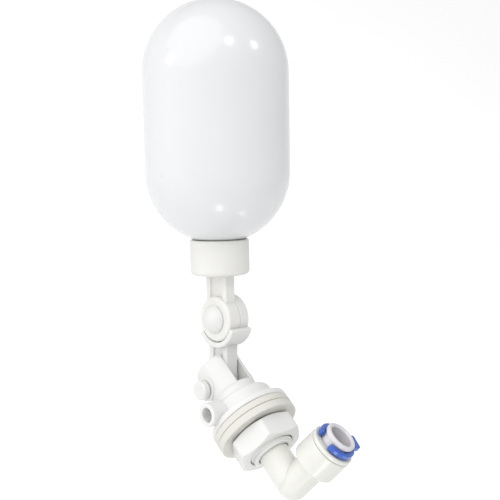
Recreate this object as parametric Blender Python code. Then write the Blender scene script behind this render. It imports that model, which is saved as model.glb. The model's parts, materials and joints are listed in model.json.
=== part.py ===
"""Mini float valve: a bulkhead valve body with a lever, a bottle float and a push-fit elbow.

The body axis lies along Y, with +Y towards the outside of the tank and +Z up. The origin is on that
axis, in the plane where the tank wall bears on the flange gasket. Lengths are metres, angles degrees.
"""

import math

import bmesh
import bpy
from mathutils import Euler, Matrix, Vector

GAP = 0.0003                    # air between two pieces that bear on each other
SEGMENTS = 32                   # sides of a large round piece
SMALL_SEGMENTS = 18             # sides of a small round piece
OVERLAP = 0.0005                # how far joined shapes run into each other
MARGIN = 0.0010                 # how far a cutter runs past what it cuts
NUDGE = 0.0001                  # keeps the faces of two shapes out of one plane
GUIDE_TURN = 7.0                # turns a round guide, so that its corners miss the body's own edges
CHAMFER = 0.0003                # broken edge of small turned pieces
EDGE = 0.0004                   # broken edge of large turned pieces
FILLET = 0.0010                 # rounded edge of moulded ends
SEAL_PLAY = 0.00022             # air on each side of a seal ring in its groove

# Float
FLOAT_RADIUS = 0.0210
FLOAT_STRAIGHT = 0.0283         # length between the two domes
FLOAT_WALL = 0.0012
NECK_RADIUS = 0.0066
NECK_WALL = 0.0014
NECK_RIDGE = 0.0004             # height of the neck's thread ridges
NECK_PITCH = 0.0022
NECK_TURNS = 2
NECK_SEAL_THICKNESS = 0.0010

# Upper arm, with its screw cap
CAP_RADIUS = 0.0086
CAP_HEIGHT = 0.0100
CAP_FLOOR = 0.0016
CAP_DISTANCE = 0.0130           # knuckle centre to the cap's lower face
STUB_WIDTH = 0.0090
LAYER_THICKNESS = 0.0031        # thickness of each knuckle disc and of the stub
STUB_RECESS_WIDTH = 0.0052
RECESS_DEPTH = 0.0007
RECESS_LAND = 0.0005            # plain strip at each end of a recess
FLOAT_ANGLE = 48.0              # float axis above the horizontal, at rest

# Knuckle
DISC_RADIUS = 0.0067
SCREW_HEAD_RADIUS = 0.0047
SCREW_HEAD_HEIGHT = 0.0027
SCREW_HEAD_RIM = 0.0007         # straight edge under the dome
SCREW_RADIUS = 0.0015
SCREW_SQUARE = 0.0034           # side of the square neck under the head
KNUCKLE_NUT_FLATS = 0.0064
KNUCKLE_NUT_THICKNESS = 0.0023
KNUCKLE_SCREW_PROUD = 0.0005

# Lower arm
LEVER_ANGLE = 52.0              # lever above the horizontal, at rest
LEVER_SWING = 38.0              # from rest to the closed position
LEVER_LENGTH = 0.0206           # pivot to knuckle centre
LEVER_WIDTH = 0.0075
LEVER_THICKNESS = 0.0042
CRADLE_CLEARANCE = 0.0004       # disc edge to cradle
CRADLE_WALL = 0.0015
CRADLE_INNER_ANGLE = 58.0       # the horn on the tank side, from the lever's own line
CRADLE_OUTER_ANGLE = 75.0       # the horn on the flange side
LEVER_RECESS_WIDTH = 0.0042
CAM_BASE = 0.0025               # pivot to cam face, at rest
PIVOT_DROP = 0.0020             # pivot below the body axis, which is also the cam's lift per radian

# Hinge pin
PIN_RADIUS = 0.0012
PIN_HEAD_RADIUS = 0.0028
PIN_HEAD_HEIGHT = 0.0021
PIN_HEAD_ROUND = 0.0007
PIN_END_PROUD = 0.0013          # plain end beyond the far boss
PIN_BOSS_RADIUS = 0.0036
PIN_BOSS_PROUD = 0.0004         # boss face beyond the barrel

# Valve body
FORK_RADIUS = 0.0069
FORK_END = 0.0062               # pivot to the fork's end
SLOT_CLEARANCE = 0.0004         # each side of the lever
PIVOT_DISTANCE = 0.0126         # flange back to pivot
BARREL_RADIUS = 0.0088
FLANGE_RADIUS = 0.0123
FLANGE_THICKNESS = 0.0018
STEM_RADIUS = 0.0066            # over the thread
THREAD_PITCH = 0.001337
THREAD_DEPTH = 0.0005
THREAD_RUNOUT = 0.0006          # plain stem at each end of the thread
STEM_PROUD = 0.0011             # stem end beyond the nut
SPOUT_RADIUS = 0.0034
SPOUT_BORE = 0.0021
SPOUT_REACH = 0.0140            # body axis to the spout's mouth

# Inlet nozzle, plunger and their seals
CHAMBER_RADIUS = 0.0042
CHAMBER_WALL = 0.0021
NOZZLE_LENGTH = 0.0036          # shoulder to sealing lip
NOZZLE_FLANGE = 0.0012
NOZZLE_RECESS = 0.0013          # nozzle shoulder, outside the flange face
ORIFICE_RADIUS = 0.0012
LIP_RADIUS = 0.0019
LIP_HEIGHT = 0.0008
NOZZLE_FUNNEL = 0.0012          # how much wider the inlet's mouth is than the orifice
GROOVE_PLACE = 0.0005           # nozzle face to its seal groove
GROOVE_PLAY = 0.0003            # groove length beyond the ring's thickness
PLUNGER_RADIUS = 0.0026
PLUNGER_HEAD_RADIUS = 0.0035
PLUNGER_HEAD_LENGTH = 0.0018
SEAT_SEAL_RADIUS = 0.0024
SEAT_SEAL_THICKNESS = 0.0012
SEAT_SEAL_PROUD = 0.0005
RETURN_ROOM = 0.0006            # behind the plunger's head, when the valve is open
ORING_SECTION = 0.0009          # thickness of the small seal rings

# Wall fixings
GASKET_THICKNESS = 0.0018
WASHER_THICKNESS = 0.0020
NUT_FLATS = 0.0180
NUT_THICKNESS = 0.0065
NUT_TURN = 16.0                 # where the nut stands, about the body axis
NUT_RUNOUT = 0.0004             # plain bore at each end of the nut's thread

# Elbow and its push-fit socket
LEG_RADIUS = 0.0046
SPIGOT_RADIUS = 0.0045
SPIGOT_GROOVE = 0.0016          # spigot end to its seal groove
ELBOW_CLEARANCE = 0.0104        # stem end to the elbow's corner
ELBOW_ANGLE = 15.0              # socket turned from upright about the body axis
WATERWAY_RADIUS = 0.0022
SOCKET_RADIUS = 0.0066
SOCKET_BASE = 0.0074            # corner to the wide part of the socket
SOCKET_LENGTH = 0.0088
SOCKET_SHOULDER = 0.0012        # rounding under the wide part
TUBE_RADIUS = 0.003175
TUBE_CLEARANCE = 0.0002
TUBE_STOP = 0.0075              # corner to the ledge that the tube stands on
TUBE_LEDGE = 0.0020
TUBE_ORING_SECTION = 0.0021
BACKUP_THICKNESS = 0.0008
GRIP_THICKNESS = 0.0004
GRIP_TEETH = 12
TOOTH_DEPTH = 0.0007
CARTRIDGE_FLANGE = 0.0010
CARTRIDGE_WALL = 0.0009
COLLET_WALL = 0.000725
COLLET_LIP = 0.0008             # how far the collet's head stands out over its sleeve
COLLET_HEAD = 0.0013
COLLET_LEAD = 0.0005            # chamfer that leads the tube in
COLLET_SLIT = 0.0008
CLIP_RADIUS = 0.0058
CLIP_THICKNESS = 0.0017
CLIP_MOUTH = 46.0
CLIP_DIRECTION = 0.0            # where the clip's mouth points, about the socket axis
CLIP_TAB_LENGTH = 0.0028
CLIP_TAB_WIDTH = 0.0044
CLIP_FLARE = 4.0                # how much wider the mouth is inside than outside, each side

# Places along the body axis
FLANGE_FRONT = -GASKET_THICKNESS - GAP
FLANGE_BACK = FLANGE_FRONT - FLANGE_THICKNESS
WASHER_BACK = GAP
NUT_BACK = WASHER_BACK + WASHER_THICKNESS + GAP
NUT_FRONT = NUT_BACK + NUT_THICKNESS
STEM_END = NUT_FRONT + STEM_PROUD
CORNER_Y = STEM_END + ELBOW_CLEARANCE
PIVOT_Y = FLANGE_BACK - PIVOT_DISTANCE
LIFT = PIVOT_DROP * math.radians(LEVER_SWING)
PLUNGER_TIP = PIVOT_Y + CAM_BASE + GAP
BOSS_FACE = FORK_RADIUS + PIN_BOSS_PROUD
PIN_CLEAR_RADIUS = PIN_RADIUS + GAP
SCREW_CLEAR_RADIUS = SCREW_RADIUS + GAP
NUT_BORE = STEM_RADIUS + GAP
GUIDE_BORE = PLUNGER_RADIUS + GAP
SLOT_BOTTOM = PLUNGER_TIP + LIFT + GAP
NOZZLE_SHOULDER = FLANGE_FRONT + NOZZLE_RECESS
LIP_TIP = NOZZLE_SHOULDER - NOZZLE_LENGTH
SEAL_FACE = LIP_TIP - LIFT - GAP
HEAD_FRONT = SEAL_FACE - SEAT_SEAL_PROUD
HEAD_BACK = HEAD_FRONT - PLUNGER_HEAD_LENGTH
CHAMBER_END = HEAD_BACK - RETURN_ROOM
BARREL_BACK = CHAMBER_END - CHAMBER_WALL
SPOUT_Y = CHAMBER_END + SPOUT_BORE
SPIGOT_BORE = SPIGOT_RADIUS + GAP
SPIGOT_END = NOZZLE_SHOULDER + GAP + NOZZLE_FLANGE + GAP

# Places across the knuckle, along X, and up the float's own axis
LAYER_NEAR = GAP / 2
LAYER_FAR = LAYER_NEAR + LAYER_THICKNESS
FLOAT_OFFSET = LAYER_NEAR + LAYER_THICKNESS / 2
CAP_FLOOR_TOP = CAP_DISTANCE + CAP_FLOOR
NECK_SEAL_BOTTOM = CAP_FLOOR_TOP + GAP
NECK_END = NECK_SEAL_BOTTOM + NECK_SEAL_THICKNESS + GAP
CAP_TOP = CAP_DISTANCE + CAP_HEIGHT
CAP_BORE = NECK_RADIUS + NECK_RIDGE + GAP
LOWER_DOME = CAP_TOP + GAP + math.sqrt(FLOAT_RADIUS ** 2 - CAP_BORE ** 2)

# Places up the socket, from the elbow's corner
TUBE_BORE = TUBE_RADIUS + TUBE_CLEARANCE
ORING_FLOOR = TUBE_STOP + TUBE_LEDGE
BACKUP_BOTTOM = ORING_FLOOR + GAP + TUBE_ORING_SECTION + GAP
GRIP_BOTTOM = BACKUP_BOTTOM + BACKUP_THICKNESS + GAP
CARTRIDGE_BOTTOM = GRIP_BOTTOM + GRIP_THICKNESS + GAP
SOCKET_TOP = SOCKET_BASE + SOCKET_LENGTH
CARTRIDGE_TOP = SOCKET_TOP + GAP + CARTRIDGE_FLANGE
CLIP_BOTTOM = CARTRIDGE_TOP + GAP
COLLET_HEAD_BOTTOM = CLIP_BOTTOM + CLIP_THICKNESS + GAP
COLLET_TOP = COLLET_HEAD_BOTTOM + COLLET_HEAD
COLLET_RADIUS = TUBE_BORE + COLLET_WALL
COLLET_HEAD_RADIUS = COLLET_RADIUS + COLLET_LIP
CARTRIDGE_BORE = COLLET_RADIUS + GAP
CARTRIDGE_RADIUS = CARTRIDGE_BORE + CARTRIDGE_WALL
SOCKET_BORE = CARTRIDGE_RADIUS + GAP


def clear_scene():
    """Remove every object, so that a run always starts empty."""
    for thing in list(bpy.data.objects):
        bpy.data.objects.remove(thing, do_unlink=True)


def make_material(name, colour, roughness, metallic=0.0):
    """Return a Principled material of one colour."""
    material = bpy.data.materials.new(name)
    material.use_nodes = True
    shader = material.node_tree.nodes["Principled BSDF"]
    shader.inputs["Base Color"].default_value = (*colour, 1.0)
    shader.inputs["Roughness"].default_value = roughness
    shader.inputs["Metallic"].default_value = metallic
    material.diffuse_color = (*colour, 1.0)
    return material


def frame_at(name, location, rotation=(0.0, 0.0, 0.0), parent=None):
    """Add an empty that carries the pieces of one moving unit."""
    empty = bpy.data.objects.new(name, None)
    bpy.context.scene.collection.objects.link(empty)
    empty.parent = parent
    empty.location = location
    empty.rotation_euler = Euler([math.radians(angle) for angle in rotation])
    return empty


def add_piece(name, mesh_builder, material, parent, location=(0.0, 0.0, 0.0)):
    """Turn a bmesh into an object, with flat faces flat and round ones smooth."""
    bmesh.ops.recalc_face_normals(mesh_builder, faces=mesh_builder.faces)
    mesh = bpy.data.meshes.new(name)
    mesh_builder.to_mesh(mesh)
    mesh_builder.free()
    mesh.shade_smooth()
    mesh.set_sharp_from_angle(angle=math.radians(35.0))
    piece = bpy.data.objects.new(name, mesh)
    bpy.context.scene.collection.objects.link(piece)
    if material is not None:
        mesh.materials.append(material)
    piece.parent = parent
    piece.location = location
    return piece


def turned_mesh(profile, axis="Z", segments=SEGMENTS):
    """Spin a closed outline of (radius, height) points; both ends may lie on the axis."""
    builder = bmesh.new()
    direction = Vector([float(letter == axis) for letter in "XYZ"])
    outward = Vector((0, 1, 0)) if axis == "X" else Vector((1, 0, 0))
    points = [builder.verts.new(outward * radius + direction * height) for radius, height in profile]
    edges = [builder.edges.new(pair) for pair in zip(points, points[1:])]
    if profile[0][0] > 0 or profile[-1][0] > 0:
        edges.append(builder.edges.new((points[-1], points[0])))
    bmesh.ops.spin(builder, geom=points + edges, cent=(0, 0, 0), axis=direction,
                   angle=2 * math.pi, steps=segments, use_merge=True)
    bmesh.ops.remove_doubles(builder, verts=builder.verts, dist=1e-7)
    return builder


def prism_mesh(outline, low, high):
    """Extrude an outline of (y, z) points along X from low to high."""
    builder = bmesh.new()
    face = builder.faces.new([builder.verts.new((low, y, z)) for y, z in outline])
    grown = bmesh.ops.extrude_face_region(builder, geom=[face])
    moved = [item for item in grown["geom"] if isinstance(item, bmesh.types.BMVert)]
    bmesh.ops.translate(builder, verts=moved, vec=(high - low, 0, 0))
    return builder


def box_mesh(low, high):
    """Make a box from its lowest and highest corners."""
    outline = [(low[1], low[2]), (high[1], low[2]), (high[1], high[2]), (low[1], high[2])]
    return prism_mesh(outline, low[0], high[0])


def arc(radius, start, end, steps, centre=(0.0, 0.0)):
    """List points on an arc, angles in degrees from the first axis."""
    angles = [math.radians(start + (end - start) * step / steps) for step in range(steps + 1)]
    return [(centre[0] + radius * math.cos(a), centre[1] + radius * math.sin(a)) for a in angles]


def combine(piece, builder, operation, parent, location=(0.0, 0.0, 0.0), rotation=(0.0, 0.0, 0.0)):
    """Join a shape to a piece, or cut it away, and leave the shape as a wire guide."""
    guide = add_piece(piece.name + "_guide", builder, None, parent, location)
    guide.rotation_euler = Euler([math.radians(angle) for angle in rotation])
    guide.hide_render = True
    guide.display_type = "WIRE"
    modifier = piece.modifiers.new(operation.lower(), "BOOLEAN")
    modifier.operation = operation
    modifier.solver = "EXACT"
    modifier.object = guide
    return guide


def join(piece, builder, parent, **placing):
    """Fuse a shape into a piece."""
    return combine(piece, builder, "UNION", parent, **placing)


def cut(piece, builder, parent, **placing):
    """Cut a shape out of a piece."""
    return combine(piece, builder, "DIFFERENCE", parent, **placing)


def ridges(radius, height, start, count, pitch):
    """List (radius, place) points of evenly spaced thread ridges standing on a cylinder."""
    points = []
    for turn in range(count):
        foot = start + turn * pitch
        points += [(radius, foot), (radius + height, foot + 0.45 * pitch), (radius, foot + 0.9 * pitch)]
    return points


def ring_mesh(inner, outer, low, high, axis, segments=SEGMENTS):
    """Spin a plain washer."""
    return turned_mesh([(inner, low), (outer, low), (outer, high), (inner, high)], axis, segments)


def oring_mesh(radius, section, centre, axis, segments=SMALL_SEGMENTS):
    """Spin a seal ring of round section."""
    profile = arc(section / 2, 0.0, 360.0, 8, (radius, centre))[:-1]
    return turned_mesh(profile, axis, segments)


def seal_ring_mesh(floor, bore, centre):
    """Spin a seal ring about Y that fills the room between a groove's floor and a bore."""
    return oring_mesh((bore + floor) / 2, bore - floor - 2 * SEAL_PLAY, centre, "Y")


def rod_mesh(radius, low, high, axis, segments=SMALL_SEGMENTS):
    """Spin a plain solid rod."""
    return turned_mesh([(0.0, low), (radius, low), (radius, high), (0.0, high)], axis, segments)


def hexagon(flats, turn=0.0):
    """List the corners of a hexagon of the given size across flats."""
    return arc(flats / math.sqrt(3.0), turn, turn + 360.0, 6)[:-1]


def make_float_shell(material, unit):
    """Blow-moulded bottle, open at its threaded neck."""
    upper_dome = LOWER_DOME + FLOAT_STRAIGHT
    inner = FLOAT_RADIUS - FLOAT_WALL
    neck_bore = NECK_RADIUS - NECK_WALL
    outer_start = math.degrees(math.asin(-math.sqrt(1 - (NECK_RADIUS / FLOAT_RADIUS) ** 2)))
    inner_start = math.degrees(math.asin(-math.sqrt(1 - (neck_bore / inner) ** 2)))
    profile = arc(FLOAT_RADIUS, 90.0, 0.0, 8, (0.0, upper_dome))
    profile += arc(FLOAT_RADIUS, 0.0, outer_start, 7, (0.0, LOWER_DOME))
    thread_start = NECK_END + THREAD_RUNOUT
    profile += list(reversed(ridges(NECK_RADIUS, NECK_RIDGE, thread_start, NECK_TURNS, NECK_PITCH)))
    profile += [(NECK_RADIUS, NECK_END), (neck_bore, NECK_END)]
    profile += arc(inner, inner_start, 0.0, 6, (0.0, LOWER_DOME))
    profile += arc(inner, 0.0, 90.0, 7, (0.0, upper_dome))
    profile[0] = (0.0, upper_dome + FLOAT_RADIUS)
    profile[-1] = (0.0, upper_dome + inner)
    return add_piece("float_shell", turned_mesh(profile, "Z"), material, unit, (FLOAT_OFFSET, 0, 0))


def make_neck_seal(material, unit):
    """Soft disc that closes the bottle's mouth inside the cap."""
    top = NECK_SEAL_BOTTOM + NECK_SEAL_THICKNESS
    disc = rod_mesh(CAP_BORE - GAP, NECK_SEAL_BOTTOM, top, "Z", SEGMENTS)
    return add_piece("neck_seal", disc, material, unit, (FLOAT_OFFSET, 0, 0))


def recess_depths(near, far):
    """List where the recess in each face of a flat arm starts and ends, across the arm."""
    return [(far - RECESS_DEPTH, far + MARGIN), (near - MARGIN, near + RECESS_DEPTH)]


def make_upper_arm(material, unit):
    """Screw cap, flat stub and near knuckle disc, moulded in one."""
    profile = [(0.0, CAP_DISTANCE)]
    profile += arc(FILLET, -90.0, 0.0, 3, (CAP_RADIUS - FILLET, CAP_DISTANCE + FILLET))
    profile += [(CAP_RADIUS, CAP_TOP - EDGE), (CAP_RADIUS - EDGE, CAP_TOP), (CAP_BORE, CAP_TOP),
                (CAP_BORE, CAP_FLOOR_TOP), (0.0, CAP_FLOOR_TOP)]
    arm = add_piece("upper_arm", turned_mesh(profile, "Z"), material, unit, (FLOAT_OFFSET, 0, 0))
    half = STUB_WIDTH / 2
    joint_angle = math.degrees(math.asin(half / DISC_RADIUS))
    outline = arc(DISC_RADIUS, 90.0 + joint_angle, 450.0 - joint_angle, 28)
    outline += [(half, CAP_DISTANCE + OVERLAP), (-half, CAP_DISTANCE + OVERLAP)]
    join(arm, prism_mesh(outline, LAYER_NEAR, LAYER_FAR), unit)
    side = SCREW_SQUARE / 2 + GAP
    cut(arm, box_mesh((LAYER_NEAR - MARGIN, -side, -side), (LAYER_FAR + MARGIN, side, side)), unit)
    recess = STUB_RECESS_WIDTH / 2
    low = DISC_RADIUS + RECESS_LAND
    high = CAP_DISTANCE - RECESS_LAND
    for near, far in recess_depths(LAYER_NEAR, LAYER_FAR):
        cut(arm, box_mesh((near, -recess, low), (far, recess, high)), unit)
    return arm


def make_knuckle_screw(material, unit):
    """Screw with a smooth dome and a square neck that keys into the upper arm."""
    head_back = LAYER_FAR + GAP
    dome = SCREW_HEAD_HEIGHT - SCREW_HEAD_RIM
    ball = (SCREW_HEAD_RADIUS ** 2 + dome ** 2) / (2 * dome)
    centre = head_back + SCREW_HEAD_HEIGHT - ball
    start = math.degrees(math.acos(SCREW_HEAD_RADIUS / ball))
    tip = -LAYER_FAR - GAP - KNUCKLE_NUT_THICKNESS - KNUCKLE_SCREW_PROUD
    profile = [(0.0, tip), (SCREW_RADIUS - CHAMFER, tip), (SCREW_RADIUS, tip + CHAMFER),
               (SCREW_RADIUS, head_back), (SCREW_HEAD_RADIUS, head_back)]
    profile += arc(ball, start, 90.0, 6, (0.0, centre))
    profile[-1] = (0.0, head_back + SCREW_HEAD_HEIGHT)
    screw = add_piece("knuckle_screw", turned_mesh(profile, "X", SMALL_SEGMENTS + 8), material, unit)
    side = SCREW_SQUARE / 2
    join(screw, box_mesh((LAYER_NEAR + 2 * GAP, -side, -side), (head_back + OVERLAP, side, side)), unit)
    return screw


def make_knuckle_nut(material, unit):
    """Small hexagon nut on the far side of the knuckle."""
    near = -LAYER_FAR - GAP
    far = near - KNUCKLE_NUT_THICKNESS
    nut = add_piece("knuckle_nut", prism_mesh(hexagon(KNUCKLE_NUT_FLATS), far, near), material, unit)
    hole = rod_mesh(SCREW_CLEAR_RADIUS, far - MARGIN, near + MARGIN, "X")
    cut(nut, hole, unit, rotation=(GUIDE_TURN, 0, 0))
    return nut


def cam_outline():
    """List the cam's working face in the lever's frame.

    The face is the involute of a circle of radius PIVOT_DROP, so a flat plunger end moves by the same
    amount for each degree, and always touches on the body axis.
    """
    tilt = math.radians(LEVER_ANGLE)
    steps = 8
    run_on = 1.4                # the face goes on past the swing by this factor
    points = []
    for step in range(steps + 1):
        angle = math.radians(LEVER_SWING * run_on) * step / steps
        reach = CAM_BASE + PIVOT_DROP * angle
        y = reach * math.cos(angle) - PIVOT_DROP * math.sin(angle)
        z = reach * math.sin(angle) + PIVOT_DROP * math.cos(angle)
        points.append((y * math.sin(tilt) + z * math.cos(tilt), z * math.sin(tilt) - y * math.cos(tilt)))
    return points


def make_lower_arm(material, unit):
    """Lever with its cam and hub, the far knuckle disc and the two horns around it."""
    half = LEVER_WIDTH / 2
    thick = LEVER_THICKNESS / 2
    inner = DISC_RADIUS + CRADLE_CLEARANCE
    outer = inner + CRADLE_WALL
    cam = cam_outline()
    root = cam[-1][1] + EDGE
    top = LEVER_LENGTH - inner - CRADLE_WALL / 2
    outline = arc(CAM_BASE, LEVER_ANGLE - 90.0, -180.0, 12)
    outline += [(-half, root), (-half, top), (half, top), (half, root)]
    outline += list(reversed(cam))
    arm = add_piece("lower_arm", prism_mesh(outline, -thick, thick), material, unit)
    low = CRADLE_OUTER_ANGLE - 90.0
    high = -90.0 - CRADLE_INNER_ANGLE
    shell = arc(outer, low, high, 16, (0.0, LEVER_LENGTH)) + arc(inner, high, low, 16, (0.0, LEVER_LENGTH))
    join(arm, prism_mesh(shell, -LAYER_FAR, LAYER_FAR + GAP), unit)
    disc = arc(DISC_RADIUS, 0.0, 360.0, 32, (0.0, LEVER_LENGTH))[:-1]
    join(arm, prism_mesh(disc, NUDGE - LAYER_FAR, -LAYER_NEAR), unit)
    inset = 2.0                 # degrees that the web stops short of the horns' tips
    web = arc(outer - OVERLAP, low - inset, high + inset, 14, (0.0, LEVER_LENGTH))
    web += arc(DISC_RADIUS - OVERLAP, high + inset, low - inset, 14, (0.0, LEVER_LENGTH))
    join(arm, prism_mesh(web, 2 * NUDGE - LAYER_FAR, -LAYER_NEAR - NUDGE), unit)
    reach = LAYER_FAR + MARGIN
    turned = (GUIDE_TURN, 0, 0)
    cut(arm, rod_mesh(PIN_CLEAR_RADIUS, -reach, reach, "X"), unit, rotation=turned)
    top = (0, 0, LEVER_LENGTH)
    cut(arm, rod_mesh(SCREW_CLEAR_RADIUS, -reach, reach, "X"), unit, location=top, rotation=turned)
    recess = LEVER_RECESS_WIDTH / 2
    low_end = root + RECESS_LAND
    high_end = LEVER_LENGTH - outer - RECESS_LAND
    for near, far in recess_depths(-thick, thick):
        cut(arm, box_mesh((near, -recess, low_end), (far, recess, high_end)), unit)
    return arm


def make_hinge_pin(material, unit):
    """Headed pin through the fork and the lever."""
    face = BOSS_FACE + GAP
    top = face + PIN_HEAD_HEIGHT
    tip = -face - PIN_END_PROUD
    profile = [(0.0, tip), (PIN_RADIUS, tip), (PIN_RADIUS, face), (PIN_HEAD_RADIUS, face)]
    profile += arc(PIN_HEAD_ROUND, 0.0, 90.0, 3, (PIN_HEAD_RADIUS - PIN_HEAD_ROUND, top - PIN_HEAD_ROUND))
    profile += [(0.0, top)]
    return add_piece("hinge_pin", turned_mesh(profile, "X", SMALL_SEGMENTS), material, unit)


def make_pin_cap(material, unit):
    """Push-on cap that holds the pin's plain end."""
    face = -BOSS_FACE - GAP
    end = face - PIN_HEAD_HEIGHT
    floor = face - PIN_END_PROUD - GAP
    profile = [(0.0, end), (PIN_HEAD_RADIUS - EDGE, end), (PIN_HEAD_RADIUS, end + EDGE),
               (PIN_HEAD_RADIUS, face), (PIN_CLEAR_RADIUS, face), (PIN_CLEAR_RADIUS, floor), (0.0, floor)]
    return add_piece("pin_cap", turned_mesh(profile, "X", SMALL_SEGMENTS), material, unit)


def valve_body_profile(fork_end):
    """List the body's half outline, from the fork's end along the outside and back through the chamber."""
    turns = int((STEM_END - FLANGE_FRONT - 2 * THREAD_RUNOUT) / THREAD_PITCH)
    root = STEM_RADIUS - THREAD_DEPTH
    floor = PLUNGER_TIP - OVERLAP
    profile = [(0.0, fork_end)]
    profile += arc(FILLET, -90.0, 0.0, 3, (FORK_RADIUS - FILLET, fork_end + FILLET))
    profile += [(FORK_RADIUS, BARREL_BACK), (BARREL_RADIUS - EDGE, BARREL_BACK),
                (BARREL_RADIUS, BARREL_BACK + EDGE), (BARREL_RADIUS, FLANGE_BACK)]
    profile += [(FLANGE_RADIUS - EDGE, FLANGE_BACK), (FLANGE_RADIUS, FLANGE_BACK + EDGE),
                (FLANGE_RADIUS, FLANGE_FRONT), (root, FLANGE_FRONT)]
    profile += ridges(root, THREAD_DEPTH, FLANGE_FRONT + THREAD_RUNOUT, turns, THREAD_PITCH)
    profile += [(root, STEM_END), (SPIGOT_BORE, STEM_END), (SPIGOT_BORE, NOZZLE_SHOULDER),
                (CHAMBER_RADIUS, NOZZLE_SHOULDER), (CHAMBER_RADIUS, CHAMBER_END)]
    profile += [(GUIDE_BORE, CHAMBER_END), (GUIDE_BORE, floor), (0.0, floor)]
    return profile


def make_valve_body(material):
    """Fork, valve chamber, flange, side spout and threaded stem, moulded in one."""
    fork_end = PIVOT_Y - FORK_END
    body = add_piece("valve_body", turned_mesh(valve_body_profile(fork_end), "Y"), material, None)
    pivot = (0, PIVOT_Y, -PIVOT_DROP)
    outlet = (0, SPOUT_Y, 0)
    turned = (GUIDE_TURN, 0, 0)
    boss_root = GUIDE_BORE + OVERLAP
    for low, high in ((boss_root, BOSS_FACE), (-BOSS_FACE, -boss_root)):
        boss = rod_mesh(PIN_BOSS_RADIUS, low, high, "X")
        join(body, boss, None, location=pivot, rotation=turned)
    spout = rod_mesh(SPOUT_RADIUS, CHAMBER_RADIUS + MARGIN, SPOUT_REACH, "X")
    join(body, spout, None, location=outlet, rotation=turned)
    slot = LEVER_THICKNESS / 2 + SLOT_CLEARANCE
    deep = BOSS_FACE + MARGIN
    cut(body, box_mesh((-slot, fork_end - MARGIN, -deep), (slot, SLOT_BOTTOM, deep)), None)
    reach = BOSS_FACE + MARGIN
    cut(body, rod_mesh(PIN_CLEAR_RADIUS, -reach, reach, "X"), None, location=pivot, rotation=turned)
    bore = rod_mesh(SPOUT_BORE, PLUNGER_HEAD_RADIUS, SPOUT_REACH + MARGIN, "X")
    cut(body, bore, None, location=outlet, rotation=turned)
    return body


def make_inlet_nozzle(material):
    """Insert with the small orifice and the raised lip that the plunger seals on."""
    shoulder = NOZZLE_SHOULDER + GAP
    body_radius = CHAMBER_RADIUS - GAP
    front = shoulder + NOZZLE_FLANGE
    lip_base = LIP_TIP + LIP_HEIGHT
    groove_low = lip_base + GROOVE_PLACE
    groove_high = groove_low + ORING_SECTION + GROOVE_PLAY
    groove_floor = body_radius - ORING_SECTION
    profile = [(ORIFICE_RADIUS, LIP_TIP), (LIP_RADIUS - CHAMFER, LIP_TIP), (LIP_RADIUS, lip_base),
               (body_radius, lip_base), (body_radius, groove_low), (groove_floor, groove_low),
               (groove_floor, groove_high), (body_radius, groove_high), (body_radius, shoulder),
               (SPIGOT_BORE - GAP, shoulder), (SPIGOT_BORE - GAP, front),
               (ORIFICE_RADIUS + NOZZLE_FUNNEL, front), (ORIFICE_RADIUS, front - NOZZLE_LENGTH / 2)]
    add_piece("inlet_nozzle", turned_mesh(profile, "Y", SMALL_SEGMENTS), material, None)
    return groove_floor, (groove_low + groove_high) / 2


def make_nozzle_oring(material, groove):
    """Seal ring in the nozzle's groove."""
    floor, centre = groove
    ring = seal_ring_mesh(floor, CHAMBER_RADIUS, centre)
    return add_piece("nozzle_oring", ring, material, None)


def make_plunger(material, unit):
    """Sliding rod between the cam and the seat seal; returns its seal groove."""
    groove_low = SLOT_BOTTOM + GAP
    groove_high = groove_low + ORING_SECTION + GROOVE_PLAY
    floor = PLUNGER_RADIUS - ORING_SECTION
    pocket = SEAT_SEAL_RADIUS + GAP
    pocket_floor = SEAL_FACE - SEAT_SEAL_THICKNESS - GAP
    profile = [(0.0, PLUNGER_TIP), (PLUNGER_RADIUS - CHAMFER, PLUNGER_TIP),
               (PLUNGER_RADIUS, PLUNGER_TIP + CHAMFER), (PLUNGER_RADIUS, groove_low), (floor, groove_low),
               (floor, groove_high), (PLUNGER_RADIUS, groove_high), (PLUNGER_RADIUS, HEAD_BACK),
               (PLUNGER_HEAD_RADIUS, HEAD_BACK), (PLUNGER_HEAD_RADIUS, HEAD_FRONT), (pocket, HEAD_FRONT),
               (pocket, pocket_floor), (0.0, pocket_floor)]
    profile = [(radius, place - PIVOT_Y) for radius, place in profile]
    add_piece("plunger", turned_mesh(profile, "Y", SMALL_SEGMENTS), material, unit)
    return floor, (groove_low + groove_high) / 2 - PIVOT_Y


def make_plunger_oring(material, unit, groove):
    """Seal ring in the plunger's groove."""
    floor, centre = groove
    return add_piece("plunger_oring", seal_ring_mesh(floor, GUIDE_BORE, centre), material, unit)


def make_seat_seal(material, unit):
    """Rubber disc in the plunger's head."""
    high = SEAL_FACE - PIVOT_Y
    disc = rod_mesh(SEAT_SEAL_RADIUS, high - SEAT_SEAL_THICKNESS, high, "Y")
    return add_piece("seat_seal", disc, material, unit)


def make_washer(name, low, thickness, material, parent):
    """Flat ring over the threaded stem, as wide as the flange."""
    high = low + thickness
    profile = [(NUT_BORE, low), (FLANGE_RADIUS - CHAMFER, low), (FLANGE_RADIUS, low + CHAMFER),
               (FLANGE_RADIUS, high - CHAMFER), (FLANGE_RADIUS - CHAMFER, high), (NUT_BORE, high)]
    return add_piece(name, turned_mesh(profile, "Y"), material, parent)


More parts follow.
